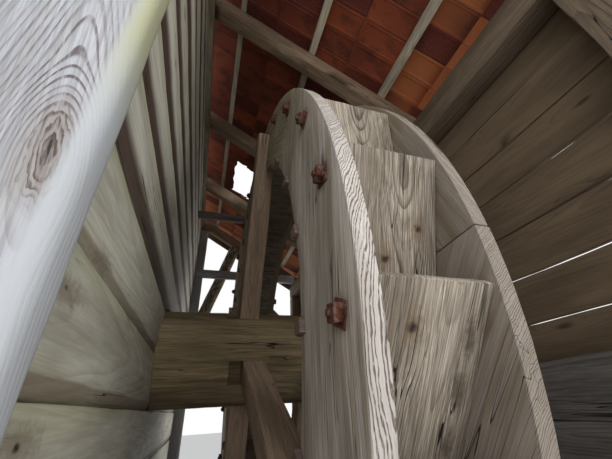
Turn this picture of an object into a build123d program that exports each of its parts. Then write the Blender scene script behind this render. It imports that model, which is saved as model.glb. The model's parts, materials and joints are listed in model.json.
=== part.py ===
from build123d import *
import math
import os

os.makedirs("parts", exist_ok=True)

# The wheel house of a watermill, in millimetres. X runs along the wheel shaft, from the mill
# to the outer wall, Y runs along the shed, and Z is up. The origin is on the ground, in the
# middle of the shed's footprint.

# Fits
SEAT = 0.3
BOARD_JOINT = 0.4
SHAFT_CLEARANCE = 15.0

# Wheel
WHEEL_RADIUS = 1600.0
WHEEL_AXIS_Y = -124.0
WHEEL_AXIS_Z = 1760.0
WHEEL_LEFT_X = -214.0
WHEEL_WIDTH = 403.0
SHROUD_THICKNESS = 50.0
SHROUD_DEPTH = 378.0
FELLOE_COUNT = 6
LEFT_FELLOE_ANGLE = 38.0
RIGHT_FELLOE_ANGLE = 3.0
BUCKET_COUNT = 24
BUCKET_LIP_ANGLE = -2.6
BUCKET_LIP_INSET = 8.0
BUCKET_BOARD = 30.0
BUCKET_RUN = 408.0
BUCKET_DROP = 274.0
SOLE_BOARD = 25.0
ARM_COUNT = 4
ARM_ANGLE = 64.0
ARM_WIDTH = 130.0
ARM_THICKNESS = 120.0
ARM_OVERHANGS = [72.0, 46.0]
ARM_SOCKET = 110.0
ARM_LAP = 240.0
WEDGE_SPACE = 76.0

# Shaft, from the hole in the mill wall to the outer bearing
SHAFT_SIDES = 16
SHAFT_FLATS = 528.0
SHAFT_OUTER_GAP = 46.0
SHAFT_WALL_INSET = 11.0
HOOP_WIDTH = 60.0
HOOP_THICKNESS = 6.0
HOOP_SETBACK = 10.0
GUDGEON_DIAMETER = 70.0
GUDGEON_SOCKET = 120.0
GUDGEON_REACH = 170.0

# Masonry
SHED_LENGTH = 4248.0
MILL_BASE_TOP = 996.0
MILL_BASE_INNER_X = -591.0
MILL_BASE_THICKNESS = 510.0
OUTER_BASE_TOP = 1234.0
OUTER_BASE_INNER_X = 666.0
OUTER_BASE_THICKNESS = 340.0
OUTER_BASE_BATTER = 60.0

# Mill wall
MILL_WALL_X = -711.0
MILL_PLANK_THICKNESS = 90.0
MILL_PLANK_HEIGHT = 247.0
PLANK_CHAMFER_DEPTH = 18.0
PLANK_CHAMFER_SHARE = 0.18
MILL_JAMB_WIDTH = 300.0
MILL_JAMB_THICKNESS = 50.0
MILL_JAMB_PROJECTION = 112.0
NEAR_JAMB_SETBACK = 163.0
MILL_POST = 150.0
MILL_POST_SPREAD = 425.0
MILL_PLATE_HEIGHT = 120.0
MILL_PLATE_LIP = 40.0
BEARING_BEAM_HEIGHT = 220.0
BEARING_RISE = 10.0

# Outer wall
OUTER_SILL_X = 686.0
OUTER_SILL_WIDTH = 200.0
LOWER_SILL_HEIGHT = 150.0
UPPER_SILL_HEIGHT = 180.0
OUTER_POST = 140.0
OUTER_POST_SETBACK = 10.0
OUTER_POST_SPREAD = 300.0
OUTER_PLATE_HEIGHT = 180.0
OUTER_BOARD_THICKNESS = 30.0
OUTER_BOARD_HEIGHTS = [158.0, 195.0, 206.0, 210.0, 201.0, 205.0, 205.0, 205.0]
OUTER_BOARD_GAP = 6.0
BEARING_BLOCK_WIDTH = 340.0
BEARING_BLOCK_LENGTH = 120.0
BEARING_BLOCK_SETBACK = 14.0

# Roof
ROOF_SLOPE = 31.0
RAFTER_COUNT = 5
RAFTER_WIDTH = 90.0
RAFTER_DEPTH = 130.0
RAFTER_TOP_AT_MILL = 4121.0
ROOF_UPPER_X = -1001.0
ROOF_EAVES_X = 1101.0
RAFTER_EAVES_SETBACK = 25.0
LATH_COUNT = 4
LATH_FIRST_X = -475.0
LATH_SPACING_X = 510.0
LATH_WIDTH = 45.0
LATH_HEIGHT = 30.0
TILE_THICKNESS = 18.0
TILE_LAP = 70.0
TILE_ROWS_PER_LATH = 2
TILE_OVERHANG = 65.0
BARGE_THICKNESS = 25.0
BARGE_DEPTH = 190.0
HOLE_X = [-350.0, -120.0]
HOLE_Y = [480.0, 1030.0]

# Braces at the far end
STRUT_DIAMETER = 150.0
STRUT_HEAD_X = -183.0
STRUT_TURN = 71.3
RAIL_DROP = 1006.0
RAIL_HEIGHT = 120.0
RAIL_THICKNESS = 40.0
RAIL_START = 90.0
TIE_DROP = 671.0
TIE_HEIGHT = 85.0
TIE_THICKNESS = 50.0

# Derived places
WHEEL_RIGHT_X = WHEEL_LEFT_X + WHEEL_WIDTH
SHROUD_INNER_RADIUS = WHEEL_RADIUS - SHROUD_DEPTH
BUCKET_LEFT_X = WHEEL_LEFT_X + SHROUD_THICKNESS + SEAT
BUCKET_RIGHT_X = WHEEL_RIGHT_X - SHROUD_THICKNESS - SEAT
SHAFT_RADIUS = SHAFT_FLATS / 2
MILL_WALL_BACK_X = MILL_WALL_X - MILL_PLANK_THICKNESS
SHAFT_LEFT_X = MILL_WALL_BACK_X + SHAFT_WALL_INSET
SHAFT_RIGHT_X = OUTER_SILL_X - SHAFT_OUTER_GAP
SLOPE = math.tan(math.radians(ROOF_SLOPE))
RAFTER_DROP = RAFTER_DEPTH / math.cos(math.radians(ROOF_SLOPE))
LATH_RISE = LATH_HEIGHT / math.cos(math.radians(ROOF_SLOPE))
BARGE_DROP = BARGE_DEPTH / math.cos(math.radians(ROOF_SLOPE))
TILE_GAUGE = LATH_SPACING_X / TILE_ROWS_PER_LATH / math.cos(math.radians(ROOF_SLOPE))
TILE_LENGTH = TILE_GAUGE + TILE_LAP
TILE_RISE = TILE_THICKNESS * TILE_LENGTH / TILE_GAUGE
SILL_TOP = OUTER_BASE_TOP + LOWER_SILL_HEIGHT + UPPER_SILL_HEIGHT
OUTER_POST_X = OUTER_SILL_X + OUTER_POST_SETBACK
OUTER_BOARD_X = OUTER_POST_X + OUTER_POST
END_POST_Y = SHED_LENGTH / 2 - OUTER_POST / 2
SHED_HALF = SHED_LENGTH / 2
NEAR_JAMB_Y = NEAR_JAMB_SETBACK - SHED_HALF
NEAR_JAMB_INNER_Y = NEAR_JAMB_Y + MILL_JAMB_THICKNESS
FAR_JAMB_Y = SHED_HALF - RAFTER_WIDTH
JAMB_EDGE_X = MILL_WALL_X + MILL_JAMB_PROJECTION
RAIL_Z = RAFTER_TOP_AT_MILL - RAIL_DROP
TIE_Z = RAFTER_TOP_AT_MILL - TIE_DROP


def rafter_top(x):
    """Height of the rafters' upper face."""
    return RAFTER_TOP_AT_MILL - SLOPE * (x - MILL_WALL_X)


def rafter_underside(x):
    return rafter_top(x) - RAFTER_DROP


MILL_PLATE_TOP = rafter_underside(MILL_WALL_BACK_X)
MILL_PLATE_BOTTOM = MILL_PLATE_TOP - MILL_PLATE_HEIGHT
OUTER_PLATE_TOP = rafter_underside(OUTER_POST_X + OUTER_POST / 2)
OUTER_PLATE_BOTTOM = OUTER_PLATE_TOP - OUTER_PLATE_HEIGHT


def block(x0, x1, y0, y1, z0, z1):
    """A box between two corners."""
    solid = Box(x1 - x0, y1 - y0, z1 - z0)
    return Pos((x0 + x1) / 2, (y0 + y1) / 2, (z0 + z1) / 2) * solid


def prism_yz(points, x0, x1):
    """An outline in the plane across the shaft, stretched along the shaft."""
    face = make_face(Polyline(*points, close=True))
    return extrude(Plane.YZ.offset(x0) * face, amount=x1 - x0)


def prism_xz(points, y0, y1):
    """An outline seen from the open end of the shed, stretched along the shed."""
    face = make_face(Polyline(*points, close=True))
    return extrude(Plane.XZ.offset(-y1) * face, amount=y1 - y0)


def on_wheel(solid, angle):
    """Turns a piece made on the +Y side of the origin to an angle of the wheel."""
    turned = Rot(180.0 - angle, 0, 0) * solid
    return Pos(0, WHEEL_AXIS_Y, WHEEL_AXIS_Z) * turned


def write(name, solids):
    """Writes one named piece, of one solid or of several that don't touch."""
    if isinstance(solids, list) and len(solids) > 1:
        shape = Compound(children=solids)
    else:
        shape = solids[0] if isinstance(solids, list) else solids
    shape.label = name
    export_step(shape, "parts/" + name + ".step")


def felloe(x0, arc):
    """One curved plank of a shroud, round outside and inside."""
    joint = math.degrees(BOARD_JOINT / 2 / SHROUD_INNER_RADIUS)
    sweep = arc - 2 * joint
    outer = CenterArc((0, 0), WHEEL_RADIUS, joint, sweep)
    inner = CenterArc((0, 0), SHROUD_INNER_RADIUS, joint, sweep)
    ends = [Line(outer @ 0, inner @ 0), Line(outer @ 1, inner @ 1)]
    face = make_face([outer, inner] + ends)
    return extrude(Plane.YZ.offset(x0) * face, amount=SHROUD_THICKNESS)


def shroud(x0, first_angle):
    """The ring of felloes on one side of the wheel."""
    arc = 360.0 / FELLOE_COUNT
    return [on_wheel(felloe(x0, arc), first_angle + arc * i) for i in range(FELLOE_COUNT)]


# Each side of the wheel has two long timbers that cross in the shaft. One stands out a little
# more than the other, and each half of a timber is an arm.

def arm_faces(face_x, outward, overhang):
    """Where an arm's outer and inner face lie along the shaft."""
    outer_x = face_x + outward * overhang
    return outer_x, outer_x - outward * ARM_THICKNESS


def arm(face_x, outward, overhang):
    """One arm, notched at its end so that it laps over the outer face of the shroud."""
    outer_x, inner_x = arm_faces(face_x, outward, overhang)
    foot = SHAFT_RADIUS - ARM_SOCKET
    tip = SHROUD_INNER_RADIUS + ARM_LAP
    half = ARM_WIDTH / 2
    body = block(min(outer_x, inner_x), max(outer_x, inner_x), foot, tip, -half, half)
    shoulder = math.sqrt(SHROUD_INNER_RADIUS ** 2 - half ** 2) - SEAT
    notch_x = sorted([face_x + outward * SEAT, inner_x - outward])
    notch = block(notch_x[0], notch_x[1], shoulder, tip + 1, -half - 1, half + 1)
    return body - notch


def arm_places():
    """The angle of each arm and how far it stands out from the shroud."""
    places = []
    for i in range(ARM_COUNT):
        angle = ARM_ANGLE + 360.0 / ARM_COUNT * i
        places.append((angle, ARM_OVERHANGS[i % len(ARM_OVERHANGS)]))
    return places


def arm_set(face_x, outward):
    return [on_wheel(arm(face_x, outward, overhang), angle) for angle, overhang in arm_places()]


# A bucket is drawn in the plane across the shaft with its lip straight out along the first
# coordinate. Its front board runs inwards and backwards, down to a riser that stands on the sole.

RISER_TURN = math.atan2(BUCKET_RUN, WHEEL_RADIUS - BUCKET_LIP_INSET - BUCKET_DROP)
RISER_TOP = math.hypot(BUCKET_RUN, WHEEL_RADIUS - BUCKET_LIP_INSET - BUCKET_DROP)


def along_riser(radius, offset):
    """A point on the riser: its distance from the axis and its offset towards the lip."""
    out = (math.cos(RISER_TURN), math.sin(RISER_TURN))
    side = (math.sin(RISER_TURN), -math.cos(RISER_TURN))
    return (radius * out[0] + offset * side[0], radius * out[1] + offset * side[1])


def front_board():
    """The sloping front board of one bucket, from its lip to the side of the riser."""
    length = math.hypot(BUCKET_RUN, BUCKET_DROP)
    run = (-BUCKET_DROP / length, BUCKET_RUN / length)
    inward = (-run[1], run[0])
    side = (math.sin(RISER_TURN), -math.cos(RISER_TURN))
    start = (WHEEL_RADIUS - BUCKET_LIP_INSET, 0.0)
    points = []
    for depth in (0.0, BUCKET_BOARD):
        near = (start[0] + inward[0] * depth, start[1] + inward[1] * depth)
        level = near[0] * side[0] + near[1] * side[1]
        slope = run[0] * side[0] + run[1] * side[1]
        reach = (BUCKET_BOARD / 2 + SEAT - level) / slope
        points.append([near, (near[0] + run[0] * reach, near[1] + run[1] * reach)])
    outline = [points[0][0], points[0][1], points[1][1], points[1][0]]
    return prism_yz(outline, BUCKET_LEFT_X, BUCKET_RIGHT_X)


def riser_board():
    """The upright board of one bucket, from the sole to the front board."""
    low = sole_outer_radius() + SEAT
    half = BUCKET_BOARD / 2
    corners = [(low, -half), (RISER_TOP, -half), (RISER_TOP, half), (low, half)]
    outline = [along_riser(radius, offset) for radius, offset in corners]
    return prism_yz(outline, BUCKET_LEFT_X, BUCKET_RIGHT_X)


def sole_outer_radius():
    """Farthest point of the flat sole boards from the axis."""
    half_turn = math.radians(180.0 / BUCKET_COUNT)
    return (SHROUD_INNER_RADIUS + SOLE_BOARD) / math.cos(half_turn)


def sole_board():
    """One flat board of the drum that closes the buckets on the inside."""
    half_turn = math.radians(180.0 / BUCKET_COUNT)
    low = SHROUD_INNER_RADIUS
    high = SHROUD_INNER_RADIUS + SOLE_BOARD
    gap = BOARD_JOINT / 2
    half_low = low * math.tan(half_turn) - gap
    half_high = high * math.tan(half_turn) - gap
    outline = [(low, -half_low), (high, -half_high), (high, half_high), (low, half_low)]
    return prism_yz(outline, BUCKET_LEFT_X, BUCKET_RIGHT_X)


def bucket_angle(index):
    return BUCKET_LIP_ANGLE + 360.0 / BUCKET_COUNT * index


def around_wheel(solid):
    """Copies a bucket board round the wheel."""
    return [on_wheel(solid, bucket_angle(index)) for index in range(BUCKET_COUNT)]


def mortise(face_x, outward, overhang):
    """The slot in the shaft for one arm, with room beside it for a wedge."""
    outer_x, inner_x = arm_faces(face_x, outward, overhang)
    slot_x = sorted([outer_x + outward * WEDGE_SPACE, inner_x - outward * SEAT])
    half = ARM_WIDTH / 2 + SEAT
    floor = SHAFT_RADIUS - ARM_SOCKET - SEAT
    return block(slot_x[0], slot_x[1], floor, SHAFT_FLATS, -half, half)


def shaft():
    """The many-sided wooden shaft with its arm mortises and gudgeon sockets."""
    section = RegularPolygon(SHAFT_RADIUS, SHAFT_SIDES, major_radius=False)
    turned = Rot(0, 0, 180.0 / SHAFT_SIDES) * section
    body = extrude(Plane.YZ.offset(SHAFT_LEFT_X) * turned, amount=SHAFT_RIGHT_X - SHAFT_LEFT_X)
    for face_x, outward in ((WHEEL_LEFT_X, -1), (WHEEL_RIGHT_X, 1)):
        for angle, overhang in arm_places():
            body = body - Rot(180.0 - angle, 0, 0) * mortise(face_x, outward, overhang)
    bore = Cylinder(GUDGEON_DIAMETER / 2 + SEAT, GUDGEON_SOCKET, rotation=(0, 90, 0))
    body = body - Pos(SHAFT_LEFT_X + GUDGEON_SOCKET / 2, 0, 0) * bore
    body = body - Pos(SHAFT_RIGHT_X - GUDGEON_SOCKET / 2, 0, 0) * bore
    return Pos(0, WHEEL_AXIS_Y, WHEEL_AXIS_Z) * body


def hoop(x0):
    """An iron band shrunk onto the end of the shaft."""
    inner = RegularPolygon(SHAFT_RADIUS + SEAT, SHAFT_SIDES, major_radius=False)
    outer = RegularPolygon(SHAFT_RADIUS + SEAT + HOOP_THICKNESS, SHAFT_SIDES, major_radius=False)
    section = Rot(0, 0, 180.0 / SHAFT_SIDES) * (outer - inner)
    band = extrude(Plane.YZ.offset(x0) * section, amount=HOOP_WIDTH)
    return Pos(0, WHEEL_AXIS_Y, WHEEL_AXIS_Z) * band


def gudgeon(x0, x1):
    """An iron pin that carries one end of the shaft."""
    pin = Cylinder(GUDGEON_DIAMETER / 2, x1 - x0, rotation=(0, 90, 0))
    return Pos((x0 + x1) / 2, WHEEL_AXIS_Y, WHEEL_AXIS_Z) * pin


def bearing_groove(x0, x1):
    """The open half-round seat of a gudgeon."""
    radius = GUDGEON_DIAMETER / 2 + SEAT
    seat = Cylinder(radius, x1 - x0 + 2, rotation=(0, 90, 0))
    seat = Pos((x0 + x1) / 2, WHEEL_AXIS_Y, WHEEL_AXIS_Z) * seat
    top = WHEEL_AXIS_Z + BEARING_RISE + 1
    way_in = block(x0 - 1, x1 + 1, WHEEL_AXIS_Y - radius, WHEEL_AXIS_Y + radius, WHEEL_AXIS_Z, top)
    return seat + way_in


def bearing_beam():
    """The beam behind the mill wall that carries the inner gudgeon between two posts."""
    half = MILL_POST_SPREAD - MILL_POST / 2 - SEAT
    x0 = MILL_WALL_BACK_X - MILL_POST
    x1 = MILL_WALL_BACK_X - SEAT
    top = WHEEL_AXIS_Z + BEARING_RISE
    beam = block(x0, x1, WHEEL_AXIS_Y - half, WHEEL_AXIS_Y + half, top - BEARING_BEAM_HEIGHT, top)
    return beam - bearing_groove(x0, x1)


def bearing_block():
    """The block on the outer sill that carries the outer gudgeon."""
    half = BEARING_BLOCK_WIDTH / 2
    x0 = OUTER_SILL_X + BEARING_BLOCK_SETBACK
    x1 = x0 + BEARING_BLOCK_LENGTH
    top = WHEEL_AXIS_Z + BEARING_RISE
    body = block(x0, x1, WHEEL_AXIS_Y - half, WHEEL_AXIS_Y + half, SILL_TOP, top)
    return body - bearing_groove(x0, x1)


def mill_base():
    x1 = MILL_BASE_INNER_X
    half = SHED_HALF
    return block(x1 - MILL_BASE_THICKNESS, x1, -half, half, 0, MILL_BASE_TOP)


def outer_base():
    """The rubble wall in the stream, thicker at its foot."""
    x0 = OUTER_BASE_INNER_X
    x1 = x0 + OUTER_BASE_THICKNESS
    half = SHED_HALF
    outline = [(x0, 0), (x1 + OUTER_BASE_BATTER, 0), (x1, OUTER_BASE_TOP), (x0, OUTER_BASE_TOP)]
    return prism_xz(outline, -half, half)


def mill_plank(low, high):
    """One plank of the mill wall, chamfered along the foot of its inner face."""
    foot_x = MILL_WALL_X - PLANK_CHAMFER_DEPTH
    foot_top = low + (high - low) * PLANK_CHAMFER_SHARE
    outline = [(MILL_WALL_BACK_X, low), (foot_x, low), (MILL_WALL_X, foot_top),
               (MILL_WALL_X, high), (MILL_WALL_BACK_X, high)]
    return prism_xz(outline, NEAR_JAMB_INNER_Y + SEAT, FAR_JAMB_Y - SEAT)


def mill_planks():
    """The stacked planks of the mill wall, cut round for the shaft."""
    hole = Cylinder(SHAFT_RADIUS + SHAFT_CLEARANCE, 2 * MILL_PLANK_THICKNESS, rotation=(0, 90, 0))
    hole_x = (MILL_WALL_X + MILL_WALL_BACK_X) / 2
    hole = Pos(hole_x, WHEEL_AXIS_Y, WHEEL_AXIS_Z) * hole
    planks = []
    low = MILL_BASE_TOP
    while low < MILL_PLATE_BOTTOM - 1:
        high = min(low + MILL_PLANK_HEIGHT, MILL_PLATE_BOTTOM)
        planks += (mill_plank(low, high - BOARD_JOINT) - hole).solids()
        low = high
    return planks


def mill_jamb(y0):
    """The upright board that covers the plank ends."""
    x0 = JAMB_EDGE_X - MILL_JAMB_WIDTH
    y1 = y0 + MILL_JAMB_THICKNESS
    top = min(MILL_PLATE_BOTTOM, rafter_underside(JAMB_EDGE_X)) - SEAT
    return block(x0, JAMB_EDGE_X, y0, y1, MILL_BASE_TOP, top)


def mill_posts():
    """The posts behind the mill wall: two beside the shaft and one at each end."""
    x0 = MILL_WALL_BACK_X - MILL_POST
    x1 = MILL_WALL_BACK_X - SEAT
    half = MILL_POST / 2
    places = [NEAR_JAMB_INNER_Y + half + SEAT, WHEEL_AXIS_Y - MILL_POST_SPREAD,
              WHEEL_AXIS_Y + MILL_POST_SPREAD, FAR_JAMB_Y - half - SEAT]
    return [block(x0, x1, y - half, y + half, MILL_BASE_TOP, MILL_PLATE_TOP) for y in places]


def mill_plate():
    """The beam on top of the mill wall that carries the rafters."""
    half = SHED_HALF
    x1 = MILL_WALL_X + MILL_PLATE_LIP
    return block(MILL_WALL_BACK_X, x1, -half, half, MILL_PLATE_BOTTOM, MILL_PLATE_TOP)


def outer_sill(low, height):
    half = SHED_HALF
    x1 = OUTER_SILL_X + OUTER_SILL_WIDTH
    return block(OUTER_SILL_X, x1, -half, half, low, low + height - SEAT)


def outer_posts():
    """The end posts of the outer wall and the two beside the bearing."""
    half = OUTER_POST / 2
    x0 = OUTER_POST_X
    posts = []
    beside_bearing = [WHEEL_AXIS_Y - OUTER_POST_SPREAD, WHEEL_AXIS_Y + OUTER_POST_SPREAD]
    for y in [-END_POST_Y] + beside_bearing + [END_POST_Y]:
        posts.append(block(x0, x0 + OUTER_POST, y - half, y + half, SILL_TOP, OUTER_PLATE_BOTTOM))
    return posts


def outer_plate():
    low = OUTER_PLATE_BOTTOM + SEAT
    return block(OUTER_POST_X, OUTER_BOARD_X, -SHED_HALF, SHED_HALF, low, OUTER_PLATE_TOP)


def outer_boards():
    """The boards of the outer wall, with the gaps that let the light in."""
    half = SHED_HALF
    x0 = OUTER_BOARD_X + SEAT
    boards = []
    low = SILL_TOP
    limit = rafter_underside(x0 + OUTER_BOARD_THICKNESS) - SEAT
    for height in OUTER_BOARD_HEIGHTS:
        top = min(low + height - OUTER_BOARD_GAP, limit)
        boards.append(block(x0, x0 + OUTER_BOARD_THICKNESS, -half, half, low, top))
        low += height
    return boards


def rafter(y):
    """A rafter, notched where it sits on the outer plate."""
    x0 = ROOF_UPPER_X
    x1 = ROOF_EAVES_X - RAFTER_EAVES_SETBACK
    outline = [(x0, rafter_top(x0)), (x1, rafter_top(x1)),
               (x1, rafter_top(x1) - RAFTER_DROP), (x0, rafter_top(x0) - RAFTER_DROP)]
    half = RAFTER_WIDTH / 2
    body = prism_xz(outline, y - half, y + half)
    y0 = y - half - 1
    y1 = y + half + 1
    plates = [(OUTER_POST_X, OUTER_BOARD_X, OUTER_PLATE_BOTTOM, OUTER_PLATE_TOP),
              (MILL_WALL_BACK_X, MILL_WALL_X + MILL_PLATE_LIP, MILL_PLATE_BOTTOM, MILL_PLATE_TOP)]
    for low_x, high_x, low_z, high_z in plates:
        body = body - block(low_x - SEAT, high_x + SEAT, y0, y1, low_z, high_z + SEAT)
    return body


def rafter_places():
    end = SHED_HALF - RAFTER_WIDTH / 2
    return [-end + 2 * end / (RAFTER_COUNT - 1) * i for i in range(RAFTER_COUNT)]


def strip_on_rafters(x, width, low, high, y0, y1):
    """A strip along the shed that lies on the roof slope."""
    half = width / 2 * math.cos(math.radians(ROOF_SLOPE))
    a = x - half
    b = x + half
    outline = [(a, rafter_top(a) + low), (b, rafter_top(b) + low),
               (b, rafter_top(b) + high), (a, rafter_top(a) + high)]
    return prism_xz(outline, y0, y1)


def laths():
    half = SHED_HALF
    strips = []
    for i in range(LATH_COUNT):
        x = LATH_FIRST_X + LATH_SPACING_X * i
        strips.append(strip_on_rafters(x, LATH_WIDTH, SEAT, LATH_RISE, -half, half))
    return strips


def on_roof(down, off):
    """A point of the roof's profile, by its distance down the slope and off the laths."""
    turn = math.radians(ROOF_SLOPE)
    foot = rafter_top(ROOF_UPPER_X) + LATH_RISE + SEAT
    x = ROOF_UPPER_X + down * math.cos(turn) + off * math.sin(turn)
    return (x, foot - down * math.sin(turn) + off * math.cos(turn))


def tile_profile():
    """The rows of tiles seen from the side: each tail lies on the heads of the row below."""
    run = (ROOF_EAVES_X - ROOF_UPPER_X) / math.cos(math.radians(ROOF_SLOPE))
    upper = []
    lower = [on_roof(run, TILE_RISE)]
    for row in range(math.ceil(run / TILE_GAUGE)):
        tail = run - TILE_GAUGE * row
        head = tail - TILE_LENGTH
        upper += [on_roof(tail, TILE_RISE + TILE_THICKNESS), on_roof(tail - TILE_GAUGE, TILE_RISE)]
        lower += [on_roof(head, 0), on_roof(head, TILE_THICKNESS)]
    return upper + lower[::-1]


def roof_tiles():
    """The tile covering, stepped row by row and open where tiles are missing."""
    half = SHED_HALF + TILE_OVERHANG
    rows = prism_xz(tile_profile(), -half, half)
    ridge_z = rafter_top(ROOF_UPPER_X) + RAFTER_DEPTH
    room = block(ROOF_UPPER_X, ROOF_EAVES_X, -half, half, 0, ridge_z)
    hole = block(HOLE_X[0], HOLE_X[1], HOLE_Y[0], HOLE_Y[1], 0, ridge_z)
    return (rows & room) - hole


def barge_board(side):
    """The board that covers the outer face of an end rafter."""
    face = SHED_HALF + SEAT
    y = sorted([side * face, side * (face + BARGE_THICKNESS)])
    x0 = ROOF_UPPER_X
    x1 = ROOF_EAVES_X - RAFTER_EAVES_SETBACK
    outline = [(x0, rafter_top(x0)), (x1, rafter_top(x1)),
               (x1, rafter_top(x1) - BARGE_DROP), (x0, rafter_top(x0) - BARGE_DROP)]
    return prism_xz(outline, y[0], y[1])


def strut():
    """The round pole behind the rail, from the jamb to the far end rafter and cut to clear the barge."""
    y = FAR_JAMB_Y + STRUT_DIAMETER / 2
    head = Vector(STRUT_HEAD_X, y, rafter_underside(STRUT_HEAD_X))
    turn = math.radians(STRUT_TURN)
    direction = Vector(-math.cos(turn), 0, -math.sin(turn))
    section = Plane(origin=head, z_dir=direction) * Circle(STRUT_DIAMETER / 2)
    pole = extrude(section, amount=SHED_LENGTH / 2, both=True)
    left = JAMB_EDGE_X + SEAT
    room = [(left, OUTER_BASE_TOP), (ROOF_EAVES_X, OUTER_BASE_TOP),
            (ROOF_EAVES_X, rafter_underside(ROOF_EAVES_X) - SEAT), (left, rafter_underside(left) - SEAT)]
    pole = pole & prism_xz(room, y - STRUT_DIAMETER, y + STRUT_DIAMETER)
    drop = BARGE_DROP + SEAT
    barge = [(left, rafter_top(left) - drop), (ROOF_EAVES_X, rafter_top(ROOF_EAVES_X) - drop),
             (ROOF_EAVES_X, rafter_top(left)), (left, rafter_top(left))]
    return (pole - prism_xz(barge, SHED_HALF, SHED_HALF + STRUT_DIAMETER)).solids()[0]


def x_on_rafter(z):
    """Where the middle line of a rafter passes a height."""
    return MILL_WALL_X + (RAFTER_TOP_AT_MILL - RAFTER_DROP / 2 - z) / SLOPE


def far_rail():
    """The level rail nailed across the far end, from the jamb to the rafter."""
    y1 = FAR_JAMB_Y - SEAT
    x1 = x_on_rafter(RAIL_Z + RAIL_HEIGHT / 2)
    return block(JAMB_EDGE_X - RAIL_START, x1, y1 - RAIL_THICKNESS, y1, RAIL_Z, RAIL_Z + RAIL_HEIGHT)


def collar_tie(y):
    """The short tie from the mill wall to the side of a rafter."""
    y1 = y - RAFTER_WIDTH / 2 - SEAT
    x1 = x_on_rafter(TIE_Z + TIE_HEIGHT / 2)
    return block(MILL_WALL_X + SEAT, x1, y1 - TIE_THICKNESS, y1, TIE_Z, TIE_Z + TIE_HEIGHT)


INNER_HOOP_X = SHAFT_LEFT_X + HOOP_SETBACK
OUTER_HOOP_X = SHAFT_RIGHT_X - HOOP_SETBACK - HOOP_WIDTH
INNER_PIN_END_X = SHAFT_LEFT_X + SHAFT_WALL_INSET - GUDGEON_REACH
OUTER_PIN_END_X = SHAFT_RIGHT_X + GUDGEON_REACH
RAFTER_PLACES = rafter_places()

write("shaft", shaft())
write("shaft_hoops", [hoop(INNER_HOOP_X), hoop(OUTER_HOOP_X)])
write("inner_gudgeon", gudgeon(INNER_PIN_END_X, SHAFT_LEFT_X + GUDGEON_SOCKET))
write("outer_gudgeon", gudgeon(SHAFT_RIGHT_X - GUDGEON_SOCKET, OUTER_PIN_END_X))
write("left_arms", arm_set(WHEEL_LEFT_X, -1))
write("right_arms", arm_set(WHEEL_RIGHT_X, 1))
write("left_shroud", shroud(WHEEL_LEFT_X, LEFT_FELLOE_ANGLE))
write("right_shroud", shroud(WHEEL_RIGHT_X - SHROUD_THICKNESS, RIGHT_FELLOE_ANGLE))
write("bucket_fronts", around_wheel(front_board()))
write("bucket_risers", around_wheel(riser_board()))
write("sole_boards", around_wheel(sole_board()))

write("mill_base", mill_base())
write("outer_base", outer_base())
write("mill_planks", mill_planks())
write("near_jamb", mill_jamb(NEAR_JAMB_Y))
write("far_jamb", mill_jamb(FAR_JAMB_Y))
write("mill_posts", mill_posts())
write("mill_plate", mill_plate())
write("bearing_beam", bearing_beam())
write("lower_sill", outer_sill(OUTER_BASE_TOP, LOWER_SILL_HEIGHT))
write("upper_sill", outer_sill(OUTER_BASE_TOP + LOWER_SILL_HEIGHT, UPPER_SILL_HEIGHT))
write("bearing_block", bearing_block())
write("outer_posts", outer_posts())
write("outer_plate", outer_plate())
write("outer_boards", outer_boards())
write("near_verge_rafter", rafter(RAFTER_PLACES[0]))
write("rafters", [rafter(y) for y in RAFTER_PLACES[1:-1]])
write("far_verge_rafter", rafter(RAFTER_PLACES[-1]))
write("laths", laths())
write("roof_tiles", roof_tiles())
write("near_barge_board", barge_board(-1))
write("far_barge_board", barge_board(1))
write("far_strut", strut())
write("far_rail", far_rail())
write("collar_tie", collar_tie(RAFTER_PLACES[-2]))
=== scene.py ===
# %% [markdown]
# This lesson dresses the wheel house of an old watermill: a lean-to of weathered timber
# round a narrow wooden bucket wheel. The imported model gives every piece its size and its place.
# Blender adds what years of rain and sun did to it: worn edges, open grain, rust, moss and
# rubble stones. Everything is in metres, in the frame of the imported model.

# %% The frame
import json
import math
import random

import bpy
import numpy as np
from mathutils import Matrix, Vector


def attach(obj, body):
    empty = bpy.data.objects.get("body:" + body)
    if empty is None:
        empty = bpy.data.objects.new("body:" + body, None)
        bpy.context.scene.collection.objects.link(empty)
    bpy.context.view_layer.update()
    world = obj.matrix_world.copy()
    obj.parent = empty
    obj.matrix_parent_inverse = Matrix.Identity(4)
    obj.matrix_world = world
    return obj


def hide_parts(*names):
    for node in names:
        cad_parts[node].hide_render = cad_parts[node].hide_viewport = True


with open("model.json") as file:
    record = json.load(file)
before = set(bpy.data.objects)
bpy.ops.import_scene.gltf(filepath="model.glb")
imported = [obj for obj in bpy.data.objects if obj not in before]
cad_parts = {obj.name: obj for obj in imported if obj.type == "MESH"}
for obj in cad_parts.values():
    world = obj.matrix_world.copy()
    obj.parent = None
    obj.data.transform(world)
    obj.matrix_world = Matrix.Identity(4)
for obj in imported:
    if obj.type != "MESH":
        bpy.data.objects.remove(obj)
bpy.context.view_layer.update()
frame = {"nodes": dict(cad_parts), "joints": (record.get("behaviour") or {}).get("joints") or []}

RANDOM_SEED = 1763
random.seed(RANDOM_SEED)

# %% [markdown]
# The photograph was taken from just inside the open end, looking up along the wheel with a
# very wide lens. A wide perspective lens at the same spot misses it by about eight pixels. The
# camera is set by its direction, the way a person holding it would describe it.

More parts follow.
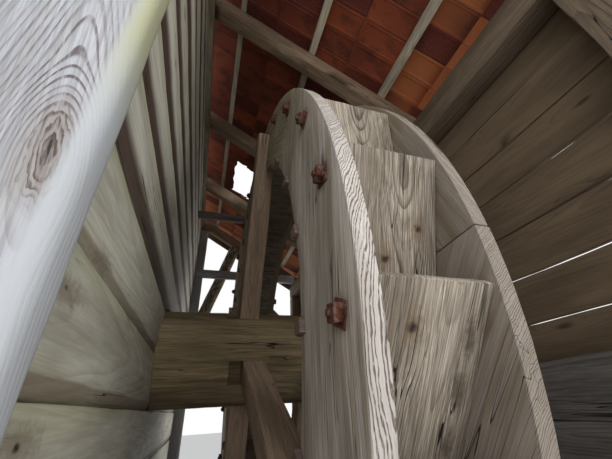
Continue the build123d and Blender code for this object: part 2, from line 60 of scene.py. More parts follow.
# %% The camera
IMAGE_WIDTH = 612.0
FOCAL_PIXELS = 300.0
SENSOR_WIDTH = 36.0
NEAREST_SEEN = 0.02
FARTHEST_SEEN = 100.0
CAMERA_PLACE = Vector((-0.482, -2.205, 1.464))
CAMERA_YAW = math.radians(19.2)
CAMERA_PITCH = math.radians(30.7)
CAMERA_ROLL = math.radians(-3.4)
camera_data = bpy.data.cameras.new("camera")
camera_data.sensor_width = SENSOR_WIDTH
camera_data.lens = FOCAL_PIXELS / IMAGE_WIDTH * SENSOR_WIDTH
camera_data.clip_start = NEAREST_SEEN
camera_data.clip_end = FARTHEST_SEEN
camera = bpy.data.objects.new("camera", camera_data)
bpy.context.scene.collection.objects.link(camera)
turn_up = Matrix.Rotation(math.pi / 2 + CAMERA_PITCH, 4, "X")
turn_sideways = Matrix.Rotation(-CAMERA_YAW, 4, "Z")
turn_level = Matrix.Rotation(CAMERA_ROLL, 4, "Z")
camera.matrix_world = Matrix.Translation(CAMERA_PLACE) @ turn_sideways @ turn_up @ turn_level
bpy.context.scene.camera = camera
print("Lens", round(camera_data.lens, 2), "mm")

# %% [markdown]
# Most of the light comes from an even pale sky. It is pure white where the camera, a reflection or
# something clear shows it, and a little dimmer and bluer as a light, so that colours come out
# about as they are written. A small helper adds the nodes, here and in every material below.

# %% The sky
SKY_LIGHT = 0.95
SKY_TINT = (0.93, 0.96, 1.0, 1.0)
WHITE = (1.0, 1.0, 1.0, 1.0)
scene = bpy.context.scene
scene.view_settings.view_transform = "Standard"
world = bpy.data.worlds.new("sky")
scene.world = world
world.use_nodes = True
sky = world.node_tree
sky.nodes.clear()


def tool(tree, kind, inputs=None, **settings):
    """Adds a shader node. Inputs that are sockets get a link, others a value."""
    made = tree.nodes.new("ShaderNode" + kind)
    for name, value in settings.items():
        setattr(made, name, value)
    for key, value in (inputs or {}).items():
        if isinstance(value, bpy.types.NodeSocket):
            tree.links.new(value, made.inputs[key])
        else:
            made.inputs[key].default_value = value
    return made


light_path = tool(sky, "LightPath")
seen = tool(sky, "Math", {0: light_path.outputs["Is Camera Ray"],
                          1: light_path.outputs["Is Glossy Ray"]}, operation="MAXIMUM")
through = tool(sky, "Math", {0: seen.outputs[0],
                             1: light_path.outputs["Is Transmission Ray"]}, operation="MAXIMUM")
as_light = tool(sky, "Background", {"Color": SKY_TINT, "Strength": SKY_LIGHT})
as_backdrop = tool(sky, "Background", {"Color": WHITE, "Strength": 1.0})
sky_mix = tool(sky, "MixShader", {0: through.outputs[0], 1: as_light.outputs[0],
                                  2: as_backdrop.outputs[0]})
tool(sky, "OutputWorld", {"Surface": sky_mix.outputs[0]})
print("The sky has", len(sky.nodes), "nodes")

# %% [markdown]
# Large soft lamps stand outside both open ends, so that daylight comes in from both sides as in
# the photograph. Of the two at the near end the right one is stronger. The floor is a plain pale
# sheet that only catches the shadow. It is part of the stage and not of the shed.

# %% Lamps and floor
LAMP_SIZE = 6.0
LAMP_AIM = Vector((0.0, -1.0, 1.8))
LAMPS = ((Vector((3.4, -7.6, 3.6)), 250.0), (Vector((-2.8, -8.4, 2.6)), 190.0),
         (Vector((3.0, 8.0, 3.0)), 260.0))
FLOOR_SIDE = 60.0
FLOOR_COLOUR = (0.62, 0.61, 0.59, 1)
FLOOR_ROUGHNESS = 0.9
for place, watts in LAMPS:
    bpy.ops.object.select_all(action="DESELECT")
    bpy.ops.object.light_add(type="AREA", location=place)
    lamp = bpy.context.active_object
    lamp.data.size = LAMP_SIZE
    lamp.data.energy = watts
    lamp.rotation_euler = (LAMP_AIM - place).to_track_quat("-Z", "Y").to_euler()

bpy.ops.mesh.primitive_plane_add(size=FLOOR_SIDE, location=(0.0, 0.0, 0.0))
floor = bpy.context.active_object
floor.name = "floor"
floor_finish = bpy.data.materials.new("pale_floor")
floor_finish.use_nodes = True
floor_shader = floor_finish.node_tree.nodes["Principled BSDF"].inputs
floor_shader["Base Color"].default_value = FLOOR_COLOUR
floor_shader["Roughness"].default_value = FLOOR_ROUGHNESS
floor.data.materials.append(floor_finish)
print(len(LAMPS), "lamps stand round a floor", FLOOR_SIDE, "m wide")

# %% [markdown]
# Every piece here is a timber, a stone, a tile or a bit of iron, and each goes through the same
# few steps: take its shape, cut it into short lengths so that it can bend a little, round its
# corners, and make its faces uneven. The helpers below are those steps. They use the same
# operators as a hand at the screen would: pick an object, go into edit mode, act, come back.

# %% Helpers that pick and shape
MERGE_DISTANCE = 0.00002
FLAT_ANGLE = math.radians(1.0)
SMOOTH_ANGLE = math.radians(38.0)
X_AXIS = Vector((1.0, 0.0, 0.0))
Y_AXIS = Vector((0.0, 1.0, 0.0))
Z_AXIS = Vector((0.0, 0.0, 1.0))


def pick(*pieces):
    """Selects these objects alone, in object mode, with the first one active."""
    if bpy.context.mode != "OBJECT":
        bpy.ops.object.mode_set(mode="OBJECT")
    bpy.ops.object.select_all(action="DESELECT")
    for piece in pieces:
        piece.select_set(True)
    bpy.context.view_layer.objects.active = pieces[0]


def settle(piece):
    """Puts an object's place, turn and size into its mesh."""
    pick(piece)
    bpy.ops.object.transform_apply(location=True, rotation=True, scale=True)


def edit_all(piece, kind="VERT"):
    """Goes into edit mode with the whole mesh selected."""
    pick(piece)
    bpy.ops.object.mode_set(mode="EDIT")
    bpy.ops.mesh.select_mode(type=kind)
    bpy.ops.mesh.select_all(action="SELECT")


def leave_edit():
    bpy.ops.object.mode_set(mode="OBJECT")


def block(name, low, high):
    """A cube stretched between two corners."""
    low = Vector(low)
    high = Vector(high)
    bpy.ops.object.select_all(action="DESELECT")
    bpy.ops.mesh.primitive_cube_add(size=1.0, location=(low + high) / 2)
    piece = bpy.context.active_object
    piece.name = name
    piece.scale = high - low
    settle(piece)
    return piece


def put_in(name, mesh):
    """Puts a mesh into the scene as an object at the origin."""
    piece = bpy.data.objects.new(name, mesh)
    bpy.context.scene.collection.objects.link(piece)
    return piece


def copy_of(node, name):
    """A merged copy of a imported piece, with whole flat faces and its normals outwards."""
    piece = put_in(name, frame["nodes"][node].data.copy())
    piece.data.materials.clear()
    edit_all(piece)
    bpy.ops.mesh.remove_doubles(threshold=MERGE_DISTANCE)
    bpy.ops.mesh.dissolve_limited(angle_limit=FLAT_ANGLE)
    bpy.ops.mesh.normals_make_consistent(inside=False)
    leave_edit()
    return piece


def box_of(piece):
    """Lowest and highest corner of a mesh."""
    corners = [vertex.co for vertex in piece.data.vertices]
    low = Vector([min(corner[i] for corner in corners) for i in range(3)])
    high = Vector([max(corner[i] for corner in corners) for i in range(3)])
    return low, high


def packed_box(node):
    """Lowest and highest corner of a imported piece."""
    return box_of(frame["nodes"][node])


print("Points closer than", MERGE_DISTANCE, "m are merged")

# %% [markdown]
# A timber is first cut into short lengths, because a long flat face has no points in its middle
# that could move. Then its corners are rounded. Last, two soft noises push its faces in and out:
# one in long waves, as wood bends while it dries, and one in short marks, as an axe leaves them.

# %% Helpers that cut and wear
def slice_up(piece, direction, step):
    """Cuts a mesh across a direction every step metres, leaving it whole."""
    direction = Vector(direction)
    spans = [vertex.co.dot(direction) for vertex in piece.data.vertices]
    start = min(spans)
    reach = max(spans) - start
    count = max(1, round(reach / step))
    edit_all(piece)
    for index in range(1, count):
        level = start + reach * index / count
        bpy.ops.mesh.select_all(action="SELECT")
        bpy.ops.mesh.bisect(plane_co=direction * level, plane_no=direction)
    leave_edit()


def apply_all(piece):
    """Applies the modifiers in order."""
    pick(piece)
    for modifier in list(piece.modifiers):
        bpy.ops.object.modifier_apply(modifier=modifier.name)


def clouds(name, size):
    """A soft noise that pushes surfaces in and out, with lumps of this size."""
    texture = bpy.data.textures.get(name) or bpy.data.textures.new(name, "CLOUDS")
    texture.noise_scale = size
    texture.noise_depth = 2
    return texture


LONG_WAVES = clouds("long_waves", 0.45)
HEWN_MARKS = clouds("hewn_marks", 0.09)
CORNER_ANGLE = math.radians(28)
NO_PUSH = 0.5


def wear(piece, corner, waves, marks, segments=2):
    """Rounds the corners, then bends the piece in long waves and short hewn marks."""
    pick(piece)
    rounding = piece.modifiers.new("rounding", "BEVEL")
    rounding.width = corner
    rounding.segments = segments
    rounding.limit_method = "ANGLE"
    rounding.angle_limit = CORNER_ANGLE
    rounding.harden_normals = False
    for texture, strength in ((LONG_WAVES, waves), (HEWN_MARKS, marks)):
        if not strength:
            continue
        push = piece.modifiers.new("push", "DISPLACE")
        push.texture = texture
        push.texture_coords = "LOCAL"
        push.mid_level = NO_PUSH
        push.strength = strength
    apply_all(piece)


print("Timber wears in waves", LONG_WAVES.noise_scale, "m and marks", HEWN_MARKS.noise_scale, "m long")

# %% [markdown]
# Wood looks like wood because its grain runs along the board. So each board gets two facts
# written on its points: "grain", the distances along, across and through the board, taken from
# its own stretch of a long imagined tree, and "place", the same from -1 to 1, for what gathers
# at ends and edges. The materials read these, so the grain turns with the wheel.

# %% Helpers for grain
GRAIN_SHIFT = (4.0, 0.07, 0.02)
COPY_SHIFT = (4.0, 0.05, 0.015)
THINNEST = 0.001


def points_of(mesh):
    """The places of all points of a mesh, one row each."""
    points = np.empty(len(mesh.vertices) * 3, np.float32)
    mesh.vertices.foreach_get("co", points)
    return points.reshape(-1, 3)


def move_points(mesh, points):
    """Puts all points of a mesh at new places."""
    mesh.vertices.foreach_set("co", points.ravel())
    mesh.update()


def somewhere(reaches):
    """A random shift along, across and through the grain."""
    return [random.uniform(-reach, reach) for reach in reaches]


def islands(mesh):
    """A number for each vertex that says which separate solid it belongs to."""
    labels = np.arange(len(mesh.vertices))
    pairs = np.empty(len(mesh.edges) * 2, np.int32)
    mesh.edges.foreach_get("vertices", pairs)
    first, second = pairs.reshape(-1, 2).T
    while True:
        lowest = np.minimum(labels[first], labels[second])
        spread = labels.copy()
        np.minimum.at(spread, first, lowest)
        np.minimum.at(spread, second, lowest)
        spread = spread[spread]
        if (spread == labels).all():
            return labels
        labels = spread


def lay_grain(piece, along, across, shifted=True, lean=0.0):
    """Writes the grain and place of every point, board by board."""
    mesh = piece.data
    along = Vector(along).normalized()
    across = Vector(across).normalized()
    axes = np.array([along, across, along.cross(across)])
    local = points_of(mesh) @ axes.T
    place = np.zeros_like(local)
    labels = islands(mesh)
    for label in np.unique(labels):
        own = labels == label
        low = local[own].min(0)
        high = local[own].max(0)
        local[own] -= (low + high) / 2
        place[own] = local[own] / np.maximum((high - low) / 2, THINNEST)
        local[own, 1] += lean * local[own, 0]
        if shifted:
            local[own] += somewhere(GRAIN_SHIFT)
    for name, values in (("grain", local), ("place", place)):
        attribute = mesh.attributes.get(name) or mesh.attributes.new(name, "FLOAT_VECTOR", "POINT")
        attribute.data.foreach_set("vector", values.astype(np.float32).ravel())


def shift_grain(mesh):
    """Gives a copied board another stretch of timber."""
    data = mesh.attributes["grain"].data
    values = np.empty(len(data) * 3, np.float32)
    data.foreach_get("vector", values)
    values = values.reshape(-1, 3)
    values += np.array(somewhere(COPY_SHIFT))
    data.foreach_set("vector", values.ravel())


def stagger(piece, direction, reach):
    """Sets each board of a row a little forward or back, as old boards stand."""
    points = points_of(piece.data)
    labels = islands(piece.data)
    for label in np.unique(labels):
        points[labels == label] += np.array(direction) * random.uniform(-reach, reach)
    move_points(piece.data, points)


print("A board's grain starts up to", GRAIN_SHIFT[0], "m along its tree")

# %% [markdown]
# A worn board, nut or tile is made once and copied, and the copies are joined into one piece of
# the scene. Every finished piece gets one material, smooth shading up to its corners and the body
# that it moves with, and the imported piece whose place it takes is hidden.

# %% Helpers for copies and finished pieces
def copies(piece, places):
    """Copies of a finished piece, each with its own mesh, moved by each matrix."""
    made = []
    for place in places:
        mesh = piece.data.copy()
        mesh.transform(place)
        shift_grain(mesh)
        made.append(put_in(piece.name, mesh))
    bpy.data.objects.remove(piece)
    return made


def join(pieces, name):
    """Joins pieces into one object."""
    pick(*pieces)
    if len(pieces) > 1:
        bpy.ops.object.join()
    joined = bpy.context.active_object
    joined.name = name
    return joined


def finish_piece(piece, name, body, slot, material, *replaced):
    """Names a piece, gives it its material and hangs it on its body."""
    piece.name = name
    piece.data.name = name
    piece.data.materials.clear()
    piece.data.materials.append(material)
    pick(piece)
    bpy.ops.object.shade_smooth_by_angle(angle=SMOOTH_ANGLE)
    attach(piece, body)
    if replaced:
        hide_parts(*replaced)
    faces = sum(len(polygon.vertices) - 2 for polygon in piece.data.polygons)
    print(name, faces, "triangles")
    return piece


def dressed(node, name, slot, material, along, across, step, corner, waves, marks, uneven=0.0):
    """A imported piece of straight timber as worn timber, with its grain along it."""
    piece = copy_of(node, name)
    slice_up(piece, along, step)
    slice_up(piece, across, step)
    stagger(piece, Vector(along).cross(Vector(across)), uneven)
    wear(piece, corner, waves, marks)
    lay_grain(piece, along, across)
    return finish_piece(piece, name, "house", slot, material, node)


print("Faces meet smoothly up to", round(math.degrees(SMOOTH_ANGLE)), "degrees")

# %% [markdown]
# All the timber here is old, and all of it is built up the same way. Rings round the middle of
# a tree, cut by the flat face of a board, give arches and straight lines at the right places.
# Hills pushed into the rings make knots, a fine stretched noise gives fibres, and a thresholded
# one gives drying cracks. What differs from timber to timber is colour, wetness and dirt.

# %% The nodes that timber is made of
def number(tree, operation, first, second=0.0, third=0.0):
    """One step of arithmetic in a material."""
    return tool(tree, "Math", {0: first, 1: second, 2: third}, operation=operation).outputs[0]


def times(tree, first, second):
    return number(tree, "MULTIPLY", first, second)


def times_plus(tree, first, second, third):
    """The product of the first two, plus the third."""
    return number(tree, "MULTIPLY_ADD", first, second, third)


def fact(tree, name):
    """What was written on the points of a piece: their grain or their place."""
    return tool(tree, "Attribute", attribute_name=name).outputs["Vector"]


def spot_on(tree):
    """Where a point is on the object, in metres."""
    return tool(tree, "TexCoord").outputs["Object"]


def part_of(tree, vector, part):
    """One part of a vector: X, Y or Z."""
    return tool(tree, "SeparateXYZ", {0: vector}).outputs[part]


def plus(tree, vector, shift):
    return tool(tree, "VectorMath", {0: vector, 1: shift}, operation="ADD").outputs[0]


def length_of(tree, vector):
    return tool(tree, "VectorMath", {0: vector}, operation="LENGTH").outputs["Value"]


def stretch(tree, vector, scale):
    """Scales a pattern by a different amount along, across and through the grain."""
    return tool(tree, "Mapping", {"Vector": vector, "Scale": scale}, vector_type="POINT").outputs[0]


def speckle(tree, vector, scale, detail=2.0, roughness=0.5):
    """Noise from 0 to 1, stretched by scale."""
    moved = stretch(tree, vector, scale)
    made = tool(tree, "TexNoise", {"Vector": moved, "Scale": 1.0, "Detail": detail,
                                   "Roughness": roughness})
    return made.outputs["Fac"]


def between(tree, value, low, high):
    """0 below low, 1 above high, and smooth between."""
    made = tool(tree, "MapRange", {"Value": value, "From Min": low, "From Max": high})
    made.interpolation_type = "SMOOTHSTEP"
    return made.outputs[0]


def blend(tree, share, first, second, kind="MIX"):
    """Mixes two colours."""
    made = tool(tree, "Mix", data_type="RGBA", blend_type=kind)
    for socket, value in ((made.inputs[0], share), (made.inputs[6], first), (made.inputs[7], second)):
        if isinstance(value, bpy.types.NodeSocket):
            tree.links.new(value, socket)
        else:
            socket.default_value = value
    return made.outputs[2]


def colour(red, green, blue):
    """A colour as it is read off a picture, from 0 to 255, made linear."""
    parts = [part / 255.0 for part in (red, green, blue)]
    linear = [part / 12.92 if part <= 0.04045 else ((part + 0.055) / 1.055) ** 2.4 for part in parts]
    return (*linear, 1.0)


print("A grey of 128 is", round(colour(128, 128, 128)[0], 3), "of white as light")

# %% [markdown]
# Each material starts empty and ends in the same way: a colour, a roughness, and a bump for
# what is too fine to model. Old wood, stone, clay and rust shine little and share one low value.
# Marks that belong to one spot, such as a certain knot, are put at points of the object.

# %% How a material starts and ends
SHINE = 0.3
RAGGED_SCALE = (60.0, 60.0, 60.0)


def finish_material(tree, base, rough, height, relief, metal=0.0):
    """Ends a material: colour, roughness and the height of the surface."""
    bump = tool(tree, "Bump", {"Height": height, "Distance": relief, "Strength": 1.0})
    shader = tool(tree, "BsdfPrincipled", {"Base Color": base, "Roughness": rough,
                                           "Normal": bump.outputs[0], "Metallic": metal,
                                           "Specular IOR Level": SHINE})
    tool(tree, "OutputMaterial", {"Surface": shader.outputs[0]})


def new_material(name):
    material = bpy.data.materials.new(name)
    material.use_nodes = True
    material.node_tree.nodes.clear()
    return material, material.node_tree


def near_point(tree, points, reach, shape=(1.0, 1.0, 1.0)):
    """1 at chosen points of the object, falling to 0 at their reach, with a ragged edge."""
    spot = spot_on(tree)
    ragged = speckle(tree, spot, RAGGED_SCALE, 3.0, 0.6)
    most = 0.0
    for point in points:
        length = length_of(tree, stretch(tree, plus(tree, spot, -point), shape))
        away = times_plus(tree, ragged, reach, length)
        most = number(tree, "MAXIMUM", most, between(tree, away, 1.3 * reach, 0.6 * reach))
    return most


print("Every finish ends with a shine of", SHINE)

# %% [markdown]
# The late wood of each year darkens slowly and then stops sharply, and no year is like another.
# Which years a face shows depends on how far it is from the middle of the tree. So that distance
# is worked out for each point, and is bent round the knots before the rings are drawn on it.

# %% Rings, knots and cracks
EYE_SHAPE = (0.42, 1.0, 0.0)


def eye_at(tree, bent, along, across, reach):
    """1 in the middle of one chosen knot, falling to 0 at its reach, for the rings to bend round."""
    round_shape = stretch(tree, plus(tree, bent, (-along, -across, 0.0)), EYE_SHAPE)
    return between(tree, length_of(tree, round_shape), reach, 0.0)


def line_noise(tree, value, scale):
    """Noise that depends on one number alone, such as the distance from the pith."""
    scaled = times(tree, value, scale)
    made = tool(tree, "TexNoise", {"W": scaled, "Scale": 1.0, "Detail": 1.0}, noise_dimensions="1D")
    return made.outputs["Fac"]


def year_rings(tree, radius, ring):
    """Late wood of each year: it darkens slowly, ends sharply, and no year is like another."""
    uneven = times_plus(tree, line_noise(tree, radius, 0.18 / ring), 1.6 * ring, radius)
    year = number(tree, "FRACT", number(tree, "DIVIDE", uneven, ring))
    late = times(tree, between(tree, year, 0.30, 0.90), between(tree, year, 1.0, 0.92))
    strength = between(tree, line_noise(tree, radius, 0.9 / ring), 0.30, 0.62)
    return times(tree, late, times_plus(tree, strength, 0.8, 0.2))


def bend_grain(tree, grain, wobble):
    """The grain with slow bends across and through the board."""
    wander = tool(tree, "TexNoise", {"Vector": stretch(tree, grain, (1.1, 4.0, 4.0)), "Scale": 1.0,
                                     "Detail": 2.0, "Roughness": 0.45}).outputs["Color"]
    centred = tool(tree, "VectorMath", {0: wander, 1: (0.5, 0.5, 0.5)}, operation="SUBTRACT").outputs[0]
    return tool(tree, "VectorMath", {0: centred, 1: (0.0, wobble, wobble), 2: grain},
                operation="MULTIPLY_ADD").outputs[0]


def knots_in(tree, bent, share):
    """The hills that push the rings aside, and the dark knots in their middles."""
    eyes = tool(tree, "TexVoronoi", {"Vector": stretch(tree, bent, (1.5, 4.6, 0.0)), "Scale": 1.0})
    lot = tool(tree, "SeparateColor", {0: eyes.outputs["Color"]}).outputs[0]
    chosen = between(tree, lot, 1.0 - share, 1.0 - share + 0.02)
    near_eye = between(tree, eyes.outputs["Distance"], 0.34, 0.02)
    hill = times(tree, number(tree, "POWER", near_eye, 2.0), chosen)
    return hill, times(tree, between(tree, eyes.outputs["Distance"], 0.075, 0.02), chosen)


def pith_distance(tree, bent, pith, taper):
    """How far a point is from the middle of its tree, which gets thinner along its length."""
    flat = tool(tree, "VectorMath", {0: bent, 1: (0.0, 1.0, 1.0)}, operation="MULTIPLY").outputs[0]
    from_pith = tool(tree, "VectorMath", {0: flat, 1: (0.0, *pith)}, operation="DISTANCE").outputs["Value"]
    return times_plus(tree, part_of(tree, bent, "X"), taper, from_pith)


def cracks_in(tree, grain, bent):
    """Drying cracks: thin lines along the grain, in some places only."""
    split = speckle(tree, bent, (1.3, 52.0, 52.0), 1.0, 0.4)
    thin = between(tree, number(tree, "ABSOLUTE", number(tree, "SUBTRACT", split, 0.5)), 0.014, 0.003)
    here = between(tree, speckle(tree, grain, (1.7, 9.0, 9.0), 1.0, 0.5), 0.52, 0.62)
    return times(tree, thin, here)


print("Rings bend round a chosen knot", round(1.0 / EYE_SHAPE[0], 1), "times as far along as across")

# %% [markdown]
# The timber material puts the layers together, from the pale wood up to the cracks. Its
# settings say how one timber differs from the next: its colours, how wide its years are, how
# much of each layer shows, and a function for stains that only this timber has.

# %% The timber material
CRACK = colour(28, 22, 18)
FIBRE_LIGHT = ((0.45, 0.43, 0.41, 1), (1.32, 1.32, 1.32, 1))
PATCH_LIGHT = ((0.50, 0.47, 0.43, 1), (1.16, 1.16, 1.16, 1))


def timber(name, pale, dark, tint, ring=0.0075, contrast=0.5, tinted=0.5, fibre=0.5, cracks=0.8,
           knots=0.35, relief=0.0016, pith=(0.015, -0.085), taper=0.03, wobble=0.05, blotch=0.8,
           streak=42.0, eye=None, stains=None):
    """Weathered wood. The grain is read from the board, and stains are added by a function."""
    material, tree = new_material(name)
    grain = fact(tree, "grain")
    bent = bend_grain(tree, grain, wobble)
    hill, knot = knots_in(tree, bent, knots)
    if eye:
        hill = number(tree, "MAXIMUM", hill, times(tree, eye_at(tree, bent, *eye), 0.75))
    radius = pith_distance(tree, bent, pith, taper)
    rings = year_rings(tree, times_plus(tree, hill, -0.045, radius), ring)
    fibres = speckle(tree, bent, (6.0, 260.0, 260.0), 4.0, 0.72)
    streaks = speckle(tree, bent, (1.1, streak, streak), 4.0, 0.65)
    patches = speckle(tree, grain, (1.1, 6.0, 6.0), 4.0, 0.62)
    crack = times(tree, cracks_in(tree, grain, bent), cracks)
    shown = between(tree, speckle(tree, grain, (0.8, 7.0, 7.0), 2.0, 0.5), 0.36, 0.62)
    faded = times(tree, rings, times_plus(tree, shown, 0.75, 0.25))
    base = blend(tree, times(tree, between(tree, streaks, 0.36, 0.66), tinted), pale, tint)
    base = blend(tree, times(tree, faded, contrast), base, dark)
    light_fibre = blend(tree, between(tree, fibres, 0.3, 0.7), *FIBRE_LIGHT)
    base = blend(tree, fibre, base, light_fibre, "MULTIPLY")
    light_patch = blend(tree, between(tree, patches, 0.32, 0.66), *PATCH_LIGHT)
    base = blend(tree, blotch, base, light_patch, "MULTIPLY")
    base = blend(tree, times(tree, knot, 0.7), base, CRACK)
    if stains:
        base = stains(tree, base, rings)
    base = blend(tree, crack, base, CRACK)
    rise = times_plus(tree, faded, -0.45, times(tree, fibres, 0.55))
    rise = times_plus(tree, crack, -1.6, rise)
    rise = times_plus(tree, knot, 0.5, rise)
    finish_material(tree, base, times_plus(tree, fibres, 0.2, 0.72), rise, relief)
    print(name, "has", len(tree.nodes), "nodes")
    return material


print("A crack gives back", round(CRACK[0], 3), "of the red light on it")

# %% [markdown]
# Everything on the wheel is placed by its angle round the shaft and its distance from it. The
# shaft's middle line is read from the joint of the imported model, so that what is made here
# stays on it when the wheel turns.

# %% Places on the wheel
AXIS = Vector(frame["joints"][0]["pos_m"])


def turned(angle):
    """The matrix that turns a piece round the shaft, positive from the open end upwards."""
    return Matrix.Translation(AXIS) @ Matrix.Rotation(-angle, 4, "X") @ Matrix.Translation(-AXIS)


def angle_of(point):
    """Where a point is round the shaft: 0 faces the open end and 90 degrees is up."""
    offset = Vector(point) - AXIS
    return math.atan2(offset.z, -offset.y)


def out_from_shaft(angle):
    return Vector((0.0, -math.cos(angle), math.sin(angle)))


def round_shaft(angle):
    return Vector((0.0, math.sin(angle), math.cos(angle)))


def parts_of(node):
    """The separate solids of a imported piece."""
    piece = copy_of(node, node + "_part")
    edit_all(piece)
    bpy.ops.mesh.separate(type="LOOSE")
    leave_edit()
    parts = list(bpy.context.selected_objects)
    return sorted(parts, key=lambda part: part.name)


def middle_of(piece):
    """The mean of all points of a mesh."""
    total = Vector((0.0, 0.0, 0.0))
    for vertex in piece.data.vertices:
        total += vertex.co
    return total / len(piece.data.vertices)


def shaft_distances(piece):
    """Least and greatest distance of a mesh from the middle line of the shaft."""
    flat = [Vector((0.0, v.co.y - AXIS.y, v.co.z - AXIS.z)).length for v in piece.data.vertices]
    return min(flat), max(flat)


RIM_RADIUS = shaft_distances(frame["nodes"]["left_shroud"])[1]
print("The wheel is", round(2 * RIM_RADIUS, 2), "m across and turns at", [round(part, 3) for part in AXIS])

# %% [markdown]
# The rim of the wheel is two shrouds, and each shroud is six curved planks called felloes. On the
# real wheel they are sawn from straight boards, so their grain runs straight while their edge is
# round: along the edge in the middle of a felloe, across it towards the joints. A small plane
# is spun round the shaft to make one felloe, and the others are turned copies of it.

# %% The felloes of the shrouds
FELLOE_STEPS = 30
FELLOE_ROWS = 6
GRAIN_SLANT = math.radians(-16.0)
JOINT_GAP = 0.0015


def felloe(name, x_low, x_high, inner, outer, arc):
    """One curved plank, spun round the shaft from a small upright plane."""
    bpy.ops.object.select_all(action="DESELECT")
    middle = (AXIS.x + (x_low + x_high) / 2, AXIS.y - (inner + outer) / 2, AXIS.z)
    bpy.ops.mesh.primitive_plane_add(size=1.0, location=middle)
    plank = bpy.context.active_object
    plank.name = name
    plank.scale = (x_high - x_low, outer - inner, 1.0)
    settle(plank)
    slice_up(plank, Y_AXIS, (outer - inner) / FELLOE_ROWS)
    edit_all(plank, "FACE")
    sweep = arc - JOINT_GAP / outer
    bpy.ops.mesh.spin(steps=FELLOE_STEPS, angle=sweep, center=AXIS, axis=(-1.0, 0.0, 0.0))
    bpy.ops.mesh.select_all(action="SELECT")
    bpy.ops.mesh.remove_doubles(threshold=MERGE_DISTANCE)
    bpy.ops.mesh.normals_make_consistent(inside=False)
    leave_edit()
    plank.data.transform(turned(-angle_of(middle_of(plank))))
    return plank


def shroud(node, name):
    """A ring of worn felloes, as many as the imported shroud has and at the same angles."""
    parts = parts_of(node)
    angles = sorted(angle_of(middle_of(part)) for part in parts)
    inner, outer = shaft_distances(parts[0])
    low, high = box_of(parts[0])
    for part in parts:
        bpy.data.objects.remove(part)
    plank = felloe(name, low.x, high.x, inner, outer, 2 * math.pi / len(angles))
    wear(plank, corner=0.005, waves=0.006, marks=0.003)
    lay_grain(plank, round_shaft(GRAIN_SLANT), out_from_shaft(GRAIN_SLANT))
    ring = join(copies(plank, [turned(angle) for angle in angles]), name)
    return finish_piece(ring, name, "wheel", "wheel_wood", WHEEL_WOOD, node)


print("A felloe is spun in", FELLOE_STEPS, "steps and", FELLOE_ROWS, "rows")

# %% [markdown]
# The rim cuts across the years of the wood, and rain has made them stand out there as zebra
# lines. They are drawn by the depth in the board. Each nut has bled rust into the wood round it,
# the wheel's right side is browner, and algae grow on the upper part.

# %% The finish of the shrouds
RIM_RING = 0.0042
NUT_CIRCLE = 1.509
NUT_ANGLE = math.radians(-4.9)
NUT_COUNT = 24
RIM_PALE = colour(196, 190, 184)
RIM_LINE = colour(84, 66, 54)
RIGHT_BROWN = colour(104, 90, 72)
ALGAE = colour(142, 128, 84)
ALGAE_FROM = 0.4
ALGAE_FULL = 1.1
RUST_STAIN = colour(104, 70, 48)


def from_axis(tree):
    """How far a point is from the middle line of the shaft, and its angle round it."""
    moved = plus(tree, spot_on(tree), -AXIS)
    parts = tool(tree, "SeparateXYZ", {0: moved}).outputs
    flat = tool(tree, "VectorMath", {0: moved, 1: (0.0, 1.0, 1.0)}, operation="MULTIPLY").outputs[0]
    return length_of(tree, flat), number(tree, "ARCTAN2", parts["Z"], times(tree, parts["Y"], -1.0))


def from_nut(tree, distance, angle):
    """How far a point is from the nearest nut, measured on the face of the shroud."""
    half_step = math.pi / NUT_COUNT
    turned_back = number(tree, "WRAP", number(tree, "SUBTRACT", angle, NUT_ANGLE), half_step, -half_step)
    sideways = times(tree, turned_back, NUT_CIRCLE)
    outwards = number(tree, "SUBTRACT", distance, NUT_CIRCLE)
    return number(tree, "SQRT", times_plus(tree, sideways, sideways, times(tree, outwards, outwards)))


def shroud_stains(tree, base, _):
    """Zebra lines where the rim cuts the grain, a browner right side, algae and rust."""
    distance, angle = from_axis(tree)
    grain = fact(tree, "grain")
    bending = speckle(tree, grain, (9.0, 30.0, 30.0), 3.0, 0.55)
    broken = between(tree, speckle(tree, grain, (60.0, 240.0, 240.0), 3.0, 0.7), 0.26, 0.50)
    depth = times_plus(tree, part_of(tree, grain, "Z"), 0.55, part_of(tree, grain, "Y"))
    lines = year_rings(tree, times_plus(tree, bending, 0.014, depth), RIM_RING)
    lines = times(tree, between(tree, lines, 0.10, 0.50), broken)
    rim = between(tree, distance, RIM_RADIUS - 0.010, RIM_RADIUS - 0.004)
    base = blend(tree, times(tree, rim, 0.6), base, RIM_PALE)
    base = blend(tree, times(tree, rim, times(tree, lines, 0.85)), base, RIM_LINE)
    spot = spot_on(tree)
    right = between(tree, part_of(tree, spot, "X"), AXIS.x - 0.1, AXIS.x + 0.1)
    base = blend(tree, times(tree, right, 0.6), base, RIGHT_BROWN)
    algae = between(tree, part_of(tree, spot, "Z"), AXIS.z + ALGAE_FROM, AXIS.z + ALGAE_FULL)
    base = blend(tree, times(tree, algae, 0.5), base, ALGAE)
    grit = speckle(tree, grain, (12.0, 60.0, 60.0), 3.0, 0.6)
    ragged = times_plus(tree, grit, 0.05, from_nut(tree, distance, angle))
    return blend(tree, times(tree, between(tree, ragged, 0.085, 0.045), 0.55), base, RUST_STAIN)


WHEEL_WOOD = timber("shroud_wood", colour(204, 198, 192), colour(112, 98, 88), colour(164, 148, 128),
                    ring=0.009, contrast=0.45, tinted=0.75, fibre=0.45, cracks=0.9, relief=0.0014,
                    pith=(0.03, -0.06), stains=shroud_stains)
shroud("left_shroud", "left_shroud_planks")
shroud("right_shroud", "right_shroud_planks")

